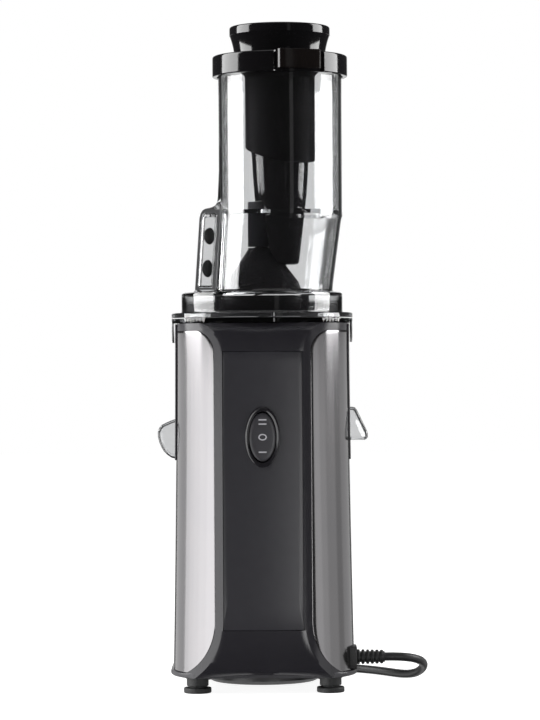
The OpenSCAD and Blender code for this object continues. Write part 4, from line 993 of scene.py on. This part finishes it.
lid_profile = rounded([(LID_R, 443.5, 0.9), (LID_R, NOTCH_Z - 0.01), (LID_R, NOTCH_Z + 0.01),
                       (LID_R, 458.5, 2), (33.5, 458.5, 1.4), (33.5, 450.3, 1.4), (23.4, 441.9, 1.8),
                       (23.4, 380), (25.4, 380), (25.4, 440.9, 1.2), (35.7, 448.9, 1),
                       (35.7, 455.2, 1), (45.5, 455.2, 0.5), (45.5, 443.5, 0.5)])
lid_turns = full_turn(144)
lid_turns += [LATCH_TURN + math.radians(side * turned_by) + 2 * math.pi for side in (-1, 1)
              for turned_by in (13.6, 13.63, HINGE_HALF, 22.9)]
lid_turns = sorted(lid_turns)
lid_points = []
for r, z in lid_profile:
    for a in lid_turns:
        reach = min(r, lid_limit(a, z))
        up = SLEEVE_Z - SLEEVE_SLANT * r * math.cos(a - SLEEVE_TURN) if z < 381 else z
        lid_points.append(at_turn(FEED_X, reach, a, up))
lid_mesh = ringed(lid_points, len(lid_turns))
# the sleeve and the underside of the ring are left matt from the mould, and look flat black
matt_black = moulded("matt black ABS", "#09080a", "#0e0d0f", (0.5, 0.62), 0.5, 0.02,
                     Specular_IOR_Level=0.03)
finished(lid_mesh, "gloss_lid", gloss_black, "lid", ["lid"], 30)
lid_mesh.materials.append(matt_black)
for polygon in lid_mesh.polygons:
    x, y, z = polygon.center / MM
    if z < 456 and math.hypot(x - FEED_X, y) < 46:
        polygon.material_index = 1
smooth_copy("lid_seal", silicone)


# ---- latch ----
# An ABS tab on a steel pin at the front of the lid. It stands a little proud of the lid's
# ring and swings out on the pin.

# polished ABS in a warm brown-black, by which the tab stands out from the ring
latch_black = moulded("polished brown-black ABS", "#120e0d", "#171211", (0.12, 0.2), 0.8, 0.01)


def in_latch(x, y, z):
    """From the latch's own axes to the juicer's."""
    c, d = math.cos(LATCH_TURN + math.pi / 2), math.sin(LATCH_TURN + math.pi / 2)
    return FEED_X + x * c - y * d, x * d + y * c, z


tab_outline = [(-16.5, -47.3), (-16.5, -47.6), (-15.5, -49.4), (-11.5, -50.6), (11, -50.7), (14.3, -50),
               (15.5, -48.8), (15.5, -47.3)]
tab_points = [in_latch(x, y, z) for z in (445.6, 459.2) for x, y in tab_outline]
tab = ringed(tab_points, len(tab_outline), "capped", edge=0.35, edge_angle=20)
arm_points = [in_latch(*p) for p in boxed((-9.6, -47.6, 455.7), (9.6, -43.7, 458.3))[0]]
arm = closed_mesh(arm_points, BLOCK_FACES, edge=0.3)
knuckle_profile = [(0.9, -9.6), (1.2, -9.6), (1.45, -9.3), (1.45, 9.3), (1.2, 9.6), (0.9, 9.6)]
knuckle = ringed([in_latch(*p) for p in on_x(knuckle_profile, (0, -43.7, 456.85), 24)], 24)
finished(joined(tab, arm, knuckle), "latch_tab", latch_black, "latch", ["lid_latch"], 30)

# ---- pusher ----
# A polished ABS stem that fits the sleeve. It tapers to a rounded foot and is scooped on one
# side, so that it passes the auger's top bushing.
stem = [(308.5, 13.3), (315, 14.1), (330, 15.9), (345, 17.7), (357, 19.1), (371, 20.1), (385, 20.8),
        (392, 21.7), (396, 22.4), (420, 22.4), (473.3, 22.4)]
OUTER, INNER = 112, 33      # steps along the stem's round side and along the rest
SCOOP_R = 12.8              # round the auger's axis, from the bushing's top downwards


def stem_radius(z):
    """The stem's radius at a height, between those that are given."""
    for (z0, r0), (z1, r1) in zip(stem, stem[1:]):
        if z <= z1:
            return r0 + (r1 - r0) * (max(z, z0) - z0) / (z1 - z0)
    return stem[-1][1]


def arc(x, r, start, end, steps):
    """Points of an arc about the upright axis that stands at x, in x and y."""
    return [at_turn(x, r, a, 0)[:2] for a in spaced(start, end, steps)]


def stem_ring(r, z, scoop=0):
    """The stem's outline: its round side, then the scooped side or the rest of the round."""
    cut = scoop or SCOOP_R
    x = (cut * cut - r * r + FEED_X * FEED_X) / (2 * FEED_X)
    y = math.sqrt(cut * cut - x * x)
    end = math.atan2(y, x - FEED_X)
    ring = arc(FEED_X, r, end, -end, OUTER)
    if scoop:
        end = math.atan2(y, x)
        ring += arc(0, scoop, -end, end, INNER)[1:-1]
    else:
        ring += arc(FEED_X, r, -end, end - 2 * math.pi, INNER)[1:-1]
    return [(x, y, z) for x, y in ring]


# the scoop is wider at the foot and narrows to the bushing's size above it
pusher_rings = []
foot_rings = [(306.6, 9.5), (306.8, 11.2), (307.4, 12.5), (308.6, 13.2)]
for z, r in foot_rings + [(z, stem_radius(z)) for z in spaced(311, 353, 14)]:
    pusher_rings += stem_ring(r, z, max(SCOOP_R, 18.4 - 5.6 * (z - 306.5) / 11.5))
for z in (353.01, 357, 365, 375, 385, 388, 391, 393.5, 396, 430, 460, 473.3):
    pusher_rings += stem_ring(stem_radius(z), z)
pusher_mesh = ringed(pusher_rings, OUTER + INNER, "capped")
finished(pusher_mesh, "gloss_pusher", gloss_black, "pusher", ["pusher"], 30)

# the cap is pressed on the stem: a collar, a flare and a rim with a shallow dish in its top
cap_profile = [(0, 450.5), (31.8, 450.5), (32.7, 450.8), (33, 451.6), (33, 455)]
cap_profile += [(33 + 3.5 * ((z - 455) / 18.6) ** 2, z) for z in spaced(457, 473.6, 12)]
cap_profile += rounded([(36.7, 473.7), (36.7, 480, 1.6), (31.4, 480, 0.7), (30.6, 478.8, 0.6), (0, 478.8)])
cap_mesh = turned(cap_profile, 144, FEED_X, "left")
finished(cap_mesh, "gloss_pusher_cap", gloss_black, "pusher", ["pusher_cap"], 30)

# ---- tower's inside: liner, vent cover, switch body, board and screws ----
# The well that the bowl stands in, the vent cover and the switch's body are moulded in ABS. A
# glass-epoxy board stands on posts, and zinc-plated screws hold the base plate.

# ABS from a plain mould: black with a low sheen
inner_black = moulded("plain black ABS", "#1a1a1c", "#232325", (0.36, 0.5), 0.8, 0.03)
liner = smooth_copy("well_liner", inner_black)
for vertex in liner.data.vertices:
    x, y, z = (v / MM for v in vertex.co)
    if z > FLARE_TOP[0]:
        limit = tower_y(max(abs(x), front_x(z)), z, 2.6)
        vertex.co.y = math.copysign(min(abs(y), limit), y) * MM
smooth_copy("vent_cover", inner_black)
dress(inner_black, "switch_body", "board_posts", "motor_fan")
dress(rubber, "motor_mounts")

# glass-epoxy under green solder resist: a glossy green with slightly uneven tones
board = moulded("green solder resist", "#1d5a38", "#24663f", (0.25, 0.4), 1.0, 0.03)
dress(board, "circuit_board")
# zinc-plated steel: pale grey and half bright
zinc = moulded("zinc-plated steel", "#a9a8a4", "#b9b8b5", (0.25, 0.4), 0.7, 0.01, Metallic=1)
dress(zinc, "base_screws", "gearbox_screws", "latch_pin")

# ---- motor ----
# A brushed motor: a drawn steel can, stacked stator sheets, a copper-wound rotor on a ground
# shaft and two ball bearings.

# steel sheet, drawn and galvanised: dull grey with faint clouds
drawn = moulded("drawn galvanised steel", "#85868a", "#95969a", (0.3, 0.45), 2.0, 0.02, Metallic=1)
dress(drawn, "motor_can")
# ground steel: bright, with soft-edged reflections
ground = moulded("ground steel", "#b0afad", "#bebdbb", (0.14, 0.24), 0.4, 0.005, Metallic=1)
dress(ground, "motor_bearings", "rotor_shaft", "lay_shaft", "output_shaft")


def layered(name, dark, pale, pitch, direction):
    """Bare metal in fine layers of a given pitch in mm: stacked sheets or wound wire."""
    made, tree, place = surface(name)
    band = add(tree, "ShaderNodeTexWave", {"Vector": place, "Scale": 1 / (math.pi * pitch * MM),
               "Distortion": 0.2}, bands_direction=direction).outputs[1]
    two_toned(tree, band, (dark, pale), band, (0, 1), (0.3, 0.5), 0.1, 0.5, Metallic=1)
    return made


# stacked sheets look like dark grey steel with fine level lines, and a winding like rows of copper
dress(layered("stacked electrical steel", "#5c5d60", "#84858a", 0.7, "Z"), "stator_core")
dress(layered("wound copper wire", "#8a4524", "#c77a4a", 0.6, "X"), "rotor_core")

# ---- gearbox ----
# A die-cast alloy case and its cover, screwed together, with a brass pinion and bush and two
# moulded nylon gears. It gears the motor down to the drive shaft.

# die-cast zinc alloy: light grey, matt, with a slightly uneven skin
cast = moulded("die-cast zinc alloy", "#8b8d8f", "#9a9c9e", (0.38, 0.55), 1.6, 0.05, Metallic=1)
dress(cast, "gearbox_case", "gearbox_cover")
# machined brass: yellow and bright
brass = moulded("machined brass", "#b98d45", "#c69c55", (0.2, 0.32), 0.6, 0.01, Metallic=1)
dress(brass, "motor_pinion", "output_bush")
# unpigmented nylon: a dull, creamy white
nylon = moulded("natural nylon", "#d8d4c6", "#e2dfd3", (0.4, 0.55), 0.9, 0.03)
dress(nylon, "lay_gear", "output_gear")
